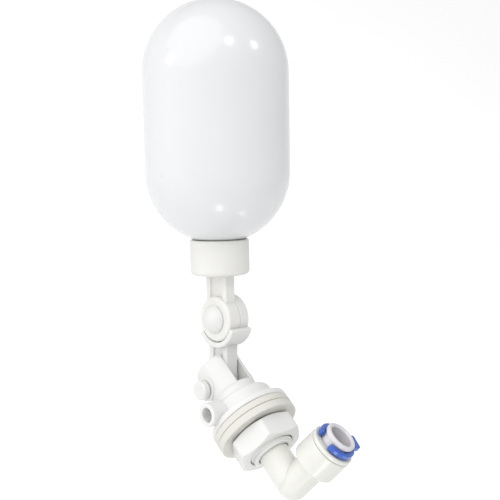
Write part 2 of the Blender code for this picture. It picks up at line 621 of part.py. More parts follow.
def make_hex_nut(material, unit):
    """Hexagon nut with chamfered corners, threaded to run on the stem."""
    corner = NUT_FLATS / math.sqrt(3.0)
    flat = NUT_FLATS / 2
    slope = 0.55                # height of the corner chamfer over its width
    chamfer = (corner - flat) * slope
    root = NUT_BORE + THREAD_DEPTH
    profile = [(root, NUT_BACK), (flat, NUT_BACK), (corner, NUT_BACK + chamfer),
               (corner, NUT_FRONT - chamfer), (flat, NUT_FRONT), (root, NUT_FRONT)]
    turns = int((NUT_THICKNESS - 2 * NUT_RUNOUT) / THREAD_PITCH)
    inside = ridges(-root, THREAD_DEPTH, NUT_BACK + NUT_RUNOUT, turns, THREAD_PITCH)
    profile += [(-radius, place) for radius, place in reversed(inside)]
    sides = 48
    nut = add_piece("hex_nut", turned_mesh(profile, "Y", sides), material, unit)
    keep = prism_mesh(hexagon(NUT_FLATS, NUT_TURN), NUT_BACK - MARGIN, NUT_FRONT + MARGIN)
    quarter_turn = Matrix.Rotation(math.radians(90.0), 3, "Z")
    bmesh.ops.rotate(keep, cent=(0, 0, 0), matrix=quarter_turn, verts=keep.verts)
    combine(nut, keep, "INTERSECT", unit)
    return nut


def elbow_socket_profile():
    """List the outline of the upright half: a ball at the corner, a neck and the wide socket."""
    under = SOCKET_BASE + EDGE + SOCKET_SHOULDER
    outline = arc(LEG_RADIUS, -90.0, 0.0, 7)
    outline[0] = (0.0, -LEG_RADIUS)
    outline += [(LEG_RADIUS, SOCKET_BASE)]
    outline += arc(SOCKET_SHOULDER, -75.0, 0.0, 3, (SOCKET_RADIUS - SOCKET_SHOULDER, under))
    outline += [(SOCKET_RADIUS, SOCKET_TOP - CHAMFER), (SOCKET_RADIUS - CHAMFER, SOCKET_TOP),
                (0.0, SOCKET_TOP)]
    return outline


def make_elbow_body(material, unit):
    """Right-angle body: a spigot for the valve stem and a wide socket for the tube."""
    spigot_end = SPIGOT_END - CORNER_Y
    leg_start = STEM_END + GAP - CORNER_Y
    leg_radius = LEG_RADIUS - NUDGE / 2
    groove_low = spigot_end + SPIGOT_GROOVE
    groove_high = groove_low + ORING_SECTION + GROOVE_PLAY
    groove_floor = SPIGOT_RADIUS - ORING_SECTION
    elbow = add_piece("elbow_body", turned_mesh(elbow_socket_profile(), "Z"), material, unit)
    leg = [(0.0, spigot_end), (SPIGOT_RADIUS - EDGE, spigot_end), (SPIGOT_RADIUS, spigot_end + EDGE),
           (SPIGOT_RADIUS, groove_low), (groove_floor, groove_low), (groove_floor, groove_high),
           (SPIGOT_RADIUS, groove_high), (SPIGOT_RADIUS, leg_start), (leg_radius, leg_start + NUDGE),
           (leg_radius, 0.0), (0.0, 0.0)]
    join(elbow, turned_mesh(leg, "Y"), unit)
    well = WATERWAY_RADIUS * 0.6
    cavity = [(0.0, -well), (WATERWAY_RADIUS * 0.8, -well), (WATERWAY_RADIUS, 0.0),
              (WATERWAY_RADIUS, TUBE_STOP), (TUBE_BORE, TUBE_STOP), (TUBE_BORE, ORING_FLOOR),
              (SOCKET_BORE, ORING_FLOOR), (SOCKET_BORE, SOCKET_TOP + MARGIN), (0.0, SOCKET_TOP + MARGIN)]
    cut(elbow, turned_mesh(cavity, "Z", SMALL_SEGMENTS), unit)
    inlet = rod_mesh(WATERWAY_RADIUS - NUDGE / 2, spigot_end - MARGIN, WATERWAY_RADIUS * 0.3, "Y")
    cut(elbow, inlet, unit)
    return groove_floor, (groove_low + groove_high) / 2


def make_spigot_oring(material, unit, groove):
    """Seal ring between the elbow's spigot and the valve stem."""
    floor, centre = groove
    return add_piece("spigot_oring", seal_ring_mesh(floor, SPIGOT_BORE, centre), material, unit)


def make_tube_oring(material, unit):
    """Seal ring that the tube pushes through."""
    middle = (TUBE_BORE + SOCKET_BORE) / 2
    centre = ORING_FLOOR + GAP + TUBE_ORING_SECTION / 2
    width = min(TUBE_ORING_SECTION, SOCKET_BORE - TUBE_BORE)
    return add_piece("tube_oring", oring_mesh(middle, width, centre, "Z"), material, unit)


def make_backup_ring(material, unit):
    """Plain ring that keeps the tube seal off the grip ring."""
    top = BACKUP_BOTTOM + BACKUP_THICKNESS
    ring = ring_mesh(TUBE_BORE, SOCKET_BORE - GAP, BACKUP_BOTTOM, top, "Z", SMALL_SEGMENTS)
    return add_piece("backup_ring", ring, material, unit)


def make_grip_ring(material, unit):
    """Thin steel ring whose inner teeth hold the tube."""
    steps = GRIP_TEETH * 4
    outside = arc(SOCKET_BORE - GAP, 0.0, 360.0, steps)[:-1]
    tips = arc(TUBE_BORE, 0.0, 360.0, steps)[:-1]
    roots = arc(TUBE_BORE + TOOTH_DEPTH, 0.0, 360.0, steps)[:-1]
    inside = [tip if step % 4 < 2 else root for step, (tip, root) in enumerate(zip(tips, roots))]
    builder = bmesh.new()
    loops = [[builder.verts.new((x, y, height)) for x, y in outline]
             for outline, height in ((outside, GRIP_BOTTOM), (outside, GRIP_BOTTOM + GRIP_THICKNESS),
                                     (inside, GRIP_BOTTOM + GRIP_THICKNESS), (inside, GRIP_BOTTOM))]
    for loop, after in zip(loops, loops[1:] + loops[:1]):
        for step in range(steps):
            ahead = (step + 1) % steps
            builder.faces.new((loop[step], loop[ahead], after[ahead], after[step]))
    return add_piece("grip_ring", builder, material, unit)


def make_collet_cartridge(material, unit):
    """Flanged sleeve, pressed into the socket, that the collet slides in."""
    shoulder = SOCKET_TOP + GAP
    flange = SOCKET_RADIUS - NUDGE
    profile = [(CARTRIDGE_BORE, CARTRIDGE_BOTTOM), (CARTRIDGE_RADIUS, CARTRIDGE_BOTTOM),
               (CARTRIDGE_RADIUS, shoulder), (flange, shoulder), (flange, CARTRIDGE_TOP - CHAMFER),
               (flange - CHAMFER, CARTRIDGE_TOP), (CARTRIDGE_BORE, CARTRIDGE_TOP)]
    return add_piece("collet_cartridge", turned_mesh(profile, "Z"), material, unit)


def make_collet(material, unit):
    """Release collet: a slotted sleeve that slides in the cartridge under a round head."""
    bottom = CARTRIDGE_BOTTOM + GAP
    profile = [(TUBE_BORE, bottom), (COLLET_RADIUS - CHAMFER, bottom), (COLLET_RADIUS, bottom + CHAMFER),
               (COLLET_RADIUS, COLLET_HEAD_BOTTOM), (COLLET_HEAD_RADIUS, COLLET_HEAD_BOTTOM),
               (COLLET_HEAD_RADIUS, COLLET_TOP - EDGE), (COLLET_HEAD_RADIUS - EDGE, COLLET_TOP),
               (TUBE_BORE + COLLET_LEAD, COLLET_TOP), (TUBE_BORE, COLLET_TOP - COLLET_LEAD)]
    collet = add_piece("collet", turned_mesh(profile, "Z"), material, unit)
    slit = COLLET_SLIT / 2
    reach = COLLET_RADIUS + MARGIN
    low = bottom - MARGIN
    cut(collet, box_mesh((-reach, -slit, low), (reach, slit, SOCKET_TOP)), unit)
    cut(collet, box_mesh((-slit, -reach, low), (slit, reach, SOCKET_TOP - NUDGE)), unit)
    return collet


def make_locking_clip(material, unit):
    """C-shaped clip under the collet's head, with a pull tab opposite its mouth."""
    half = CLIP_MOUTH / 2
    flared = half + CLIP_FLARE
    top = CLIP_BOTTOM + CLIP_THICKNESS
    outline = arc(CLIP_RADIUS, half, 360.0 - half, 36)
    outline += arc(COLLET_RADIUS + GAP, 360.0 - flared, flared, 24)
    builder = bmesh.new()
    face = builder.faces.new([builder.verts.new((x, y, CLIP_BOTTOM)) for x, y in outline])
    grown = bmesh.ops.extrude_face_region(builder, geom=[face])
    moved = [item for item in grown["geom"] if isinstance(item, bmesh.types.BMVert)]
    bmesh.ops.translate(builder, verts=moved, vec=(0, 0, CLIP_THICKNESS))
    clip = add_piece("locking_clip", builder, material, unit)
    clip.rotation_euler.z = math.radians(CLIP_DIRECTION)
    wide = CLIP_TAB_WIDTH / 2
    tip = -CLIP_RADIUS - CLIP_TAB_LENGTH
    tab = box_mesh((tip, -wide, CLIP_BOTTOM + NUDGE), (OVERLAP - CLIP_RADIUS, wide, top - NUDGE))
    join(clip, tab, unit, rotation=(0, 0, CLIP_DIRECTION))
    return clip


def main():
    """Build every piece in its place."""
    clear_scene()
    white = make_material("white_plastic", (0.90, 0.91, 0.90), 0.35)
    bottle = make_material("bottle_plastic", (0.91, 0.92, 0.93), 0.25)
    ivory = make_material("ivory_plastic", (0.87, 0.87, 0.82), 0.30)
    blue = make_material("blue_plastic", (0.03, 0.12, 0.62), 0.35)
    pale_rubber = make_material("pale_rubber", (0.78, 0.77, 0.72), 0.60)
    black_rubber = make_material("black_rubber", (0.03, 0.03, 0.03), 0.55)
    steel = make_material("stainless_steel", (0.60, 0.60, 0.60), 0.30, 1.0)

    make_valve_body(white)
    groove = make_inlet_nozzle(white)
    make_nozzle_oring(black_rubber, groove)
    make_washer("flange_gasket", -GASKET_THICKNESS, GASKET_THICKNESS, pale_rubber, None)
    nut_frame = frame_at("nut_frame", (0, 0, 0))
    make_washer("outer_washer", WASHER_BACK, WASHER_THICKNESS, pale_rubber, nut_frame)
    make_hex_nut(white, nut_frame)

    pivot = (0, PIVOT_Y, -PIVOT_DROP)
    pin_frame = frame_at("pin_frame", pivot)
    make_hinge_pin(white, pin_frame)
    make_pin_cap(white, pin_frame)
    plunger_frame = frame_at("plunger_frame", (0, PIVOT_Y, 0))
    groove = make_plunger(white, plunger_frame)
    make_plunger_oring(black_rubber, plunger_frame, groove)
    make_seat_seal(black_rubber, plunger_frame)

    lever_frame = frame_at("lever_frame", pivot, (90.0 - LEVER_ANGLE, 0, 0))
    make_lower_arm(white, lever_frame)
    float_tilt = (LEVER_ANGLE - FLOAT_ANGLE, 0, 0)
    float_frame = frame_at("float_frame", (0, 0, LEVER_LENGTH), float_tilt, lever_frame)
    make_upper_arm(white, float_frame)
    make_knuckle_screw(white, float_frame)
    make_knuckle_nut(white, float_frame)
    make_float_shell(bottle, float_frame)
    make_neck_seal(pale_rubber, float_frame)

    elbow_frame = frame_at("elbow_frame", (0, CORNER_Y, 0), (0, -ELBOW_ANGLE, 0))
    groove = make_elbow_body(ivory, elbow_frame)
    make_spigot_oring(black_rubber, elbow_frame, groove)
    make_tube_oring(black_rubber, elbow_frame)
    make_backup_ring(ivory, elbow_frame)
    make_grip_ring(steel, elbow_frame)
    make_collet_cartridge(ivory, elbow_frame)
    make_collet(ivory, elbow_frame)
    make_locking_clip(blue, elbow_frame)
    bpy.context.view_layer.update()


main()
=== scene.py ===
import json
import math

import bmesh
import bpy
import numpy as np
from mathutils import Matrix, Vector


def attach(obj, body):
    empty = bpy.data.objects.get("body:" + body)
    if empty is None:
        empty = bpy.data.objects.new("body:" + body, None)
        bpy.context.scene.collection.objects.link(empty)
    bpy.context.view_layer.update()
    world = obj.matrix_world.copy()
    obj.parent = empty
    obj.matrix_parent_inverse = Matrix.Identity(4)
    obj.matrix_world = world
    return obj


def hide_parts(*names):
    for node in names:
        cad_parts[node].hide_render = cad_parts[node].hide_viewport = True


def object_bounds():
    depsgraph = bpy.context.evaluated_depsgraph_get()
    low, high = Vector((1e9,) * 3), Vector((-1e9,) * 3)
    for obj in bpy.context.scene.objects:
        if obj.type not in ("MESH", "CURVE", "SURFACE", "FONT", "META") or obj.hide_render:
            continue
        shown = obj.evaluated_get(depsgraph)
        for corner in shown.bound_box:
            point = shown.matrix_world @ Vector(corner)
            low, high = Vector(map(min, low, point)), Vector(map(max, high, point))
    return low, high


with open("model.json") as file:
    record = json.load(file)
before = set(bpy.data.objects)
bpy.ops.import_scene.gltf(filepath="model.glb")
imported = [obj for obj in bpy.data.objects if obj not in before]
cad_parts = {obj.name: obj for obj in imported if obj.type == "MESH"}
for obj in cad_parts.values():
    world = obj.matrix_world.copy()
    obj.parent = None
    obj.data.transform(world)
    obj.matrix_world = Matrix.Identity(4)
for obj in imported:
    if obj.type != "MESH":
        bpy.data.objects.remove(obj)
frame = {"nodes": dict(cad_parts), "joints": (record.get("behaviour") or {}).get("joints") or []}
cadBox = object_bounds()

mm = 0.001


def placeAt(origin, along, side):
    # a place is an origin and three unit directions: side, along x side, and along
    along = np.array(along, float) / np.linalg.norm(along)
    side = np.array(side, float) / np.linalg.norm(side)
    axes = np.array([side, np.cross(along, side), along])
    return {"origin": np.array(origin, float), "axes": axes}


def nodePoints(node):
    # the node's own corners, each once
    mesh = frame["nodes"][node].data
    points = np.zeros(len(mesh.vertices) * 3, np.float32)
    mesh.vertices.foreach_get("co", points)
    return np.unique(np.round(points.reshape(-1, 3).astype(float), 7), axis=0)


def measure(node, place):
    # the node seen from a place: its widest radius, and where it starts and ends along the axis
    local = (nodePoints(node) - place["origin"]) @ place["axes"].T
    radius = np.hypot(local[:, 0], local[:, 1])
    return {"outer": radius.max(), "low": local[:, 2].min(), "high": local[:, 2].max()}


def toWorld(points, place):
    # a place's own (x, y, z) in the frame: origin + x * side + y * (along x side) + z * along
    return place["origin"] + np.asarray(points) @ place["axes"]


joints = {joint["name"]: joint for joint in frame["joints"]}
pivot = np.array(joints["lever_swing"]["pos_m"])
knuckle = np.array(joints["knuckle_bend"]["pos_m"])
corner = np.array(joints["elbow_swivel"]["pos_m"])
bottleMiddle = nodePoints("float_shell").mean(0)
bodyPlace = placeAt((0, 0, 0), (0, 1, 0), (1, 0, 0))
leverPlace = placeAt(pivot, knuckle - pivot, (1, 0, 0))
armPlace = placeAt(knuckle, (bottleMiddle - knuckle) * (0, 1, 1), (1, 0, 0))
bottlePlace = placeAt(knuckle + (bottleMiddle[0], 0, 0), armPlace["axes"][2], (1, 0, 0))
socketPlace = placeAt(corner, joints["collet_travel"]["axis"],
                      np.cross((0, 1, 0), joints["collet_travel"]["axis"]))
pinPlace = placeAt(pivot, (1, 0, 0), (0, 1, 0))
screwPlace = placeAt(knuckle, (1, 0, 0), armPlace["axes"][1])
print("places found from the frame")


def arcPoints(radius, start, end, steps, centre=(0.0, 0.0)):
    # points at even angles on a circle: centre + radius * (cos, sin)
    angles = np.radians(np.linspace(start, end, steps + 1))
    return np.array(centre) + radius * np.column_stack([np.cos(angles), np.sin(angles)])


def roundCorners(points, radius, closed=True, steps=5):
    # each sharp corner becomes an arc tangent to both its sides, which starts
    # radius * tan(turn / 2) from the corner; a short hold on each side keeps the flat there flat
    points = np.array(points, float)
    radii = np.broadcast_to(radius, len(points))
    rounded = []
    for index, point in enumerate(points):
        before, after = points[index - 1] - point, points[(index + 1) % len(points)] - point
        lengths = np.linalg.norm(before), np.linalg.norm(after)
        before, after = before / lengths[0], after / lengths[1]
        turn = math.pi - math.acos(float(np.clip(before @ after, -1, 1)))
        if turn < 0.35 or radii[index] <= 0 or (not closed and index in (0, len(points) - 1)):
            rounded.append(point[None])
            continue
        cut = min(radii[index] * math.tan(turn / 2), 0.45 * lengths[0], 0.45 * lengths[1])
        middle = (before + after) / np.linalg.norm(before + after)
        centre = point + middle * cut / math.sin(turn / 2)
        share = np.linspace(0, 1, steps + 1)[:, None]
        first, last = point + before * cut - centre, point + after * cut - centre
        bend = (np.sin((1 - share) * turn) * first + np.sin(share * turn) * last) / math.sin(turn)
        hold = min(0.06 * mm, 0.1 * min(lengths))
        ends = point + before * (cut + hold), point + after * (cut + hold)
        rounded.append(np.vstack([ends[0], centre + bend, ends[1]]))
    return np.vstack(rounded)


def gridFaces(rows, columns, wrapRows, wrapColumns=True):
    # one four-sided face between each two neighbours of a grid, row by row
    row = np.arange(rows if wrapRows else rows - 1)[:, None]
    column = np.arange(columns if wrapColumns else columns - 1)[None]
    nextRow, nextColumn = (row + 1) % rows, (column + 1) % columns
    corners = [row * columns + column, row * columns + nextColumn,
               nextRow * columns + nextColumn, nextRow * columns + column]
    return np.stack(np.broadcast_arrays(*corners), -1).reshape(-1, 4)


def gridShell(grid, wrapRows, capped=False):
    # a closed skin over a grid of points; a cap is one face over the first row and one over the
    # last, fit for plain outlines and for ends that lie inside another skin
    rows, columns = grid.shape[:2]
    faces = gridFaces(rows, columns, wrapRows).tolist()
    if capped:
        faces += [list(range(columns))[::-1], list(range((rows - 1) * columns, rows * columns))]
    return grid.reshape(-1, 3), faces


def turned(profile, place, segments=96, swell=None):
    # a profile of (radius, height) points turned about the place's axis: (r cos a, r sin a, h);
    # swell(angle, height, radius) may change the radius. It closes on the axis or on itself
    profile = np.array(profile, float)
    angle = np.linspace(0, 2 * math.pi, segments, endpoint=False)[None]
    radius, height = profile[:, :1] + 0 * angle, profile[:, 1:] + 0 * angle
    if swell:
        radius = swell(angle, height, radius)
    grid = np.stack([radius * np.cos(angle), radius * np.sin(angle), height], -1)
    onAxis = profile[0, 0] < 1e-9 and profile[-1, 0] < 1e-9
    return gridShell(toWorld(grid, place), not onAxis)


def slab(outline, low, high, edge, place, steps=4, hole=0.0):
    # an outline of (across, along) points carried from low to high in x, its edges rounded by a
    # quarter circle: inset = edge * (1 - sin t) while x = edge * (1 - cos t), along the outline's
    # own normals. A hole is a circle about the x axis, its points at the outline's own angles
    outline = np.array(outline, float)
    tangent = np.roll(outline, -1, 0) - np.roll(outline, 1, 0)
    normal = np.column_stack([tangent[:, 1], -tangent[:, 0]])
    normal /= np.linalg.norm(tangent, axis=1)[:, None]
    ahead = np.roll(outline, -1, 0)
    area = np.sum(outline[:, 0] * ahead[:, 1] - ahead[:, 0] * outline[:, 1])
    normal *= -np.sign(area)
    turn = np.linspace(0, math.pi / 2, steps + 1)
    hold = 0.15 * edge
    inset = np.concatenate([[edge + hold], edge * (1 - np.sin(turn)), [0.0]])
    rise = np.concatenate([[0.0], edge * (1 - np.cos(turn)), [edge + hold]])
    insets = np.concatenate([inset, inset[::-1]])
    places = np.concatenate([low + rise, (high - rise)[::-1]])
    flat = outline[None] + normal[None] * insets[:, None, None]
    if hole:
        circle = hole * outline / np.linalg.norm(outline, axis=1)[:, None]
        flat = np.concatenate([circle[None], flat, circle[None]])
        places = np.concatenate([[low], places, [high]])
    across = np.broadcast_to(places[:, None, None], flat.shape[:2] + (1,))
    grid = np.concatenate([across, flat], -1)
    return gridShell(toWorld(grid, place), bool(hole), not hole)


def beam(section, low, high, place):
    # a closed section of (x, y) points carried straight along the place's axis
    section = np.array(section, float)
    grid = np.stack([np.column_stack([section, np.full(len(section), along)])
                     for along in np.linspace(low, high, 5)])
    return gridShell(toWorld(grid, place), False, True)


def makePiece(name, shells, material, body, nodes):
    # one object from its closed skins: poles are merged and faces turned outwards
    counts = np.cumsum([0] + [len(points) for points, _ in shells])
    faces = [[index + start for index in face] for (_, shell),
             start in zip(shells, counts) for face in shell]
    mesh = bpy.data.meshes.new(name)
    mesh.from_pydata(np.vstack([points for points, _ in shells]).tolist(), [], faces)
    work = bmesh.new()
    work.from_mesh(mesh)
    bmesh.ops.remove_doubles(work, verts=work.verts, dist=1e-7)
    bmesh.ops.recalc_face_normals(work, faces=work.faces)
    work.to_mesh(mesh)
    work.free()
    mesh.shade_smooth()
    mesh.set_sharp_from_angle(angle=math.radians(50))
    mesh.materials.append(material)
    piece = bpy.data.objects.new(name, mesh)
    bpy.context.scene.collection.objects.link(piece)
    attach(piece, body)
    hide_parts(*nodes)
    return piece


def addNode(tree, kind, **values):
    # a node with its inputs set by name
    node = tree.nodes.new(kind)
    for name, value in values.items():
        if name in node.inputs:
            node.inputs[name].default_value = value
        else:
            setattr(node, name, value)
    return node


def mouldedGroup():
    # moulded plastic: Cloud is slow noise, for uneven wall and colour; Grain is fine noise from
    # the tool's face; Height mixes in flow marks, bands of a sine whose place is bent by noise
    group = bpy.data.node_groups.new("mouldedSurface", "ShaderNodeTree")
    face = group.interface
    face.new_socket("Place", in_out="INPUT", socket_type="NodeSocketVector")
    for name, value in (("Cloud Scale", 60.0), ("Grain Scale", 2500.0), ("Flow", 0.2)):
        face.new_socket(name, in_out="INPUT", socket_type="NodeSocketFloat").default_value = value
    for name in ("Cloud", "Grain", "Height"):
        face.new_socket(name, in_out="OUTPUT", socket_type="NodeSocketFloat")
    start, end = group.nodes.new("NodeGroupInput"), group.nodes.new("NodeGroupOutput")
    cloud = addNode(group, "ShaderNodeTexNoise", Detail=3.0, Roughness=0.5)
    grain = addNode(group, "ShaderNodeTexNoise", Detail=2.0, Roughness=0.6)
    flow = addNode(group, "ShaderNodeTexWave", wave_type="BANDS", bands_direction="DIAGONAL",
                   Scale=90.0, Distortion=9.0)
    mix = addNode(group, "ShaderNodeMix", data_type="FLOAT")
    link = group.links.new
    for texture in (cloud, grain, flow):
        link(start.outputs["Place"], texture.inputs["Vector"])
    link(start.outputs["Cloud Scale"], cloud.inputs["Scale"])
    link(start.outputs["Grain Scale"], grain.inputs["Scale"])
    link(start.outputs["Flow"], mix.inputs["Factor"])
    link(grain.outputs["Fac"], mix.inputs["A"])
    link(flow.outputs["Fac"], mix.inputs["B"])
    link(cloud.outputs["Fac"], end.inputs["Cloud"])
    link(grain.outputs["Fac"], end.inputs["Grain"])
    link(mix.outputs["Result"], end.inputs["Height"])
    return group


def speckGroup():
    # handling dust: Speck is 1 within a small distance of scattered cell centres, 0 elsewhere
    group = bpy.data.node_groups.new("dustSpecks", "ShaderNodeTree")
    face = group.interface
    face.new_socket("Place", in_out="INPUT", socket_type="NodeSocketVector")
    for name, value in (("Scale", 140.0), ("Size", 0.03)):
        face.new_socket(name, in_out="INPUT", socket_type="NodeSocketFloat").default_value = value
    face.new_socket("Speck", in_out="OUTPUT", socket_type="NodeSocketFloat")
    start, end = group.nodes.new("NodeGroupInput"), group.nodes.new("NodeGroupOutput")
    cells = addNode(group, "ShaderNodeTexVoronoi", feature="F1")
    near = addNode(group, "ShaderNodeMath", operation="LESS_THAN")
    link = group.links.new
    link(start.outputs["Place"], cells.inputs["Vector"])
    link(start.outputs["Scale"], cells.inputs["Scale"])
    link(start.outputs["Size"], near.inputs[1])
    link(cells.outputs["Distance"], near.inputs[0])
    link(near.outputs["Value"], end.inputs["Speck"])
    return group


surfaceGroup, dustGroup = mouldedGroup(), speckGroup()


# each finish: two close colours that the slow noise mixes, the roughness range of the grain,
# the sizes and strengths of its marks, and the shader's own values
finishes = {
    "whitePlastic": {"colours": ((0.80, 0.80, 0.785), (0.86, 0.86, 0.845)), "rough": (0.30, 0.42),
                     "cloud": 90, "grain": 2600, "flow": 0.15, "bump": 0.05, "dust": 0.25,
                     "shader": {"Subsurface Weight": 0.12, "Coat Weight": 0.10}},
    "capPlastic": {"colours": ((0.83, 0.825, 0.79), (0.88, 0.875, 0.85)), "rough": (0.34, 0.46),
                   "cloud": 70, "grain": 2600, "flow": 0.15, "bump": 0.05, "dust": 0.25,
                   "shader": {"Subsurface Weight": 0.12}},
    "bottlePlastic": {"colours": ((0.80, 0.815, 0.825), (0.86, 0.87, 0.88)), "rough": (0.16, 0.26),
                      "cloud": 35, "grain": 1500, "flow": 0.35, "bump": 0.03, "dust": 0.4,
                      "shader": {"Subsurface Weight": 0.25, "Coat Weight": 0.35}},
    "ivoryPlastic": {"colours": ((0.78, 0.785, 0.73), (0.85, 0.85, 0.80)), "rough": (0.20, 0.32),
                     "cloud": 80, "grain": 2600, "flow": 0.15, "bump": 0.04, "dust": 0.25,
                     "shader": {"Subsurface Weight": 0.12, "Coat Weight": 0.25}},
    "colletPlastic": {"colours": ((0.72, 0.70, 0.74), (0.84, 0.83, 0.84)), "rough": (0.26, 0.38),
                      "cloud": 120, "grain": 2600, "flow": 0.1, "bump": 0.04, "dust": 0.2,
                      "shader": {"Subsurface Weight": 0.08}},
    "clipPlastic": {"colours": ((0.022, 0.085, 0.48), (0.045, 0.16, 0.66)), "rough": (0.22, 0.34),
                    "cloud": 150, "grain": 2600, "flow": 0.2, "bump": 0.05, "dust": 0.15,
                    "shader": {"Coat Weight": 0.35}},
    "paleRubber": {"colours": ((0.72, 0.71, 0.65), (0.80, 0.785, 0.74)), "rough": (0.42, 0.60),
                   "cloud": 110, "grain": 1800, "flow": 0.25, "bump": 0.12, "dust": 0.5,
                   "shader": {"Subsurface Weight": 0.30}},
    "sealRubber": {"colours": ((0.018, 0.018, 0.020), (0.035, 0.035, 0.037)), "rough": (0.45, 0.62),
                   "cloud": 110, "grain": 1800, "flow": 0.2, "bump": 0.12, "dust": 0.5,
                   "shader": {}},
    "springSteel": {"colours": ((0.52, 0.52, 0.53), (0.66, 0.66, 0.66)), "rough": (0.22, 0.40),
                    "cloud": 200, "grain": 3000, "flow": 0.6, "bump": 0.10, "dust": 0.2,
                    "shader": {"Metallic": 1.0}},
}
# what all finishes share: the width, strength and tone of the painted edge shade, a darkening
# of the colour towards the outline; the dust's colour, the depth of the marks and how far light
# spreads inside the plastic
skin = {"paintedEdgeShadeBlend": 0.28, "paintedEdgeShadeStrength": 0.55, "paintedEdgeShadeTone": 0.45, "dustColour": (0.42, 0.41, 0.38),
        "markDepth": 0.1 * mm, "spread": 0.8 * mm}


def makeFinish(name, look):
    # colour = mix(first, second, Cloud), then towards the dust's colour where a speck is, then
    # darker where the surface turns away from the eye, a painted shade at the outline;
    # roughness follows the Grain
    material = bpy.data.materials.new(name)
    material.use_nodes = True
    tree = material.node_tree
    link = tree.links.new
    shader = tree.nodes["Principled BSDF"]
    place = addNode(tree, "ShaderNodeTexCoord")
    surface = addNode(tree, "ShaderNodeGroup", node_tree=surfaceGroup)
    dust = addNode(tree, "ShaderNodeGroup", node_tree=dustGroup)
    surface.inputs["Cloud Scale"].default_value = look["cloud"]
    surface.inputs["Grain Scale"].default_value = look["grain"]
    surface.inputs["Flow"].default_value = look["flow"]
    colour = addNode(tree, "ShaderNodeMix", data_type="RGBA")
    dusty = addNode(tree, "ShaderNodeMix", data_type="RGBA")
    amount = addNode(tree, "ShaderNodeMath", operation="MULTIPLY")
    # painted shade: the Layer Weight's Facing darkens the base colour towards the silhouette edges
    rim = addNode(tree, "ShaderNodeLayerWeight", Blend=skin["paintedEdgeShadeBlend"])
    paintedEdgeShadeAmount = addNode(tree, "ShaderNodeMath", operation="MULTIPLY")
    paintedEdgeShadeMix = addNode(tree, "ShaderNodeMix", data_type="RGBA")
    rough = addNode(tree, "ShaderNodeMapRange")
    bump = addNode(tree, "ShaderNodeBump", Strength=look["bump"], Distance=skin["markDepth"])
    for socket, value in zip(("A", "B"), look["colours"]):
        colour.inputs[socket].default_value = (*value, 1)
    dusty.inputs["B"].default_value = (*skin["dustColour"], 1)
    amount.inputs[1].default_value = look["dust"]
    rough.inputs["To Min"].default_value, rough.inputs["To Max"].default_value = look["rough"]
    link(place.outputs["Object"], surface.inputs["Place"])
    link(place.outputs["Object"], dust.inputs["Place"])
    link(surface.outputs["Cloud"], colour.inputs["Factor"])
    link(colour.outputs["Result"], dusty.inputs["A"])
    link(dust.outputs["Speck"], amount.inputs[0])
    link(amount.outputs["Value"], dusty.inputs["Factor"])
    # painted shade colour: the first colour darkened, mixed in where the surface turns away from
    # the eye
    shade = [skin["paintedEdgeShadeTone"] * value for value in look["colours"][0]]
    paintedEdgeShadeMix.inputs["B"].default_value = (*shade, 1)
    paintedEdgeShadeAmount.inputs[1].default_value = skin["paintedEdgeShadeStrength"]
    link(rim.outputs["Facing"], paintedEdgeShadeAmount.inputs[0])
    link(paintedEdgeShadeAmount.outputs["Value"], paintedEdgeShadeMix.inputs["Factor"])
    link(dusty.outputs["Result"], paintedEdgeShadeMix.inputs["A"])
    link(paintedEdgeShadeMix.outputs["Result"], shader.inputs["Base Color"])
    link(surface.outputs["Grain"], rough.inputs["Value"])
    link(rough.outputs["Result"], shader.inputs["Roughness"])
    link(surface.outputs["Height"], bump.inputs["Height"])
    link(bump.outputs["Normal"], shader.inputs["Normal"])
    shader.inputs["Subsurface Radius"].default_value = (1.0, 1.0, 1.0)
    shader.inputs["Subsurface Scale"].default_value = skin["spread"]
    for socket, value in look["shader"].items():
        shader.inputs[socket].default_value = value
    return material


materials = {name: makeFinish(name, look) for name, look in finishes.items()}
print("materials made:", len(materials))


def bentBar(inner, outer, low, high, start, end, edge, place, centre=(0.0, 0.0), steps=56):
    # a bar of rounded rectangular section bent round a centre, centre + r * (cos a, sin a); at
    # both ends the section shrinks by edge * (1 - sin t) while the angle moves on by
    # edge * (1 - cos t) / radius
    middle, halfRadius, halfWide = (inner + outer) / 2, (outer - inner) / 2, (high - low) / 2
    corners = [(-halfRadius, -halfWide), (halfRadius, -halfWide), (halfRadius, halfWide),
               (-halfRadius, halfWide)]
    section = roundCorners(corners, edge)
    turn = np.linspace(0, math.pi / 2, 6)
    reach = math.copysign(edge / middle, end - start)
    first = math.radians(start) + reach * (1 - np.cos(turn))
    last = math.radians(end) - reach * (1 - np.cos(turn))[::-1]
    angle = np.concatenate([first, np.linspace(first[-1], last[0], steps)[1:-1], last])[:, None]
    shrink = edge * (1 - np.sin(turn))
    inset = np.concatenate([shrink, np.zeros(steps - 2), shrink[::-1]])[:, None]
    radius = middle + section[None, :, 0] * (1 - inset / halfRadius)
    across = (low + high) / 2 + section[None, :, 1] * (1 - inset / halfWide)
    grid = np.stack([across, centre[0] + radius * np.cos(angle),
                     centre[1] + radius * np.sin(angle)], -1)
    return gridShell(toWorld(grid, place), False, True)


def smoothLow(first, second, width):
    # the lower of two values with a rounded change between them:
    # -width * log(exp(-first / width) + exp(-second / width))
    return -width * np.logaddexp(-first / width, -second / width)


def ringOf(inner, outer, low, high, edge, place, segments=96, swell=None):
    # a plain ring: its four corners rounded, then turned
    corners = [(inner, low), (outer, low), (outer, high), (inner, high)]
    return turned(roundCorners(corners, edge), place, segments, swell)


def rodOf(radius, low, high, edge, place, segments=64):
    # a solid rod whose two ends are rounded
    corners = [(0, low), (radius, low), (radius, high), (0, high)]
    return turned(roundCorners(corners, (0, edge, edge, 0), closed=False), place, segments)


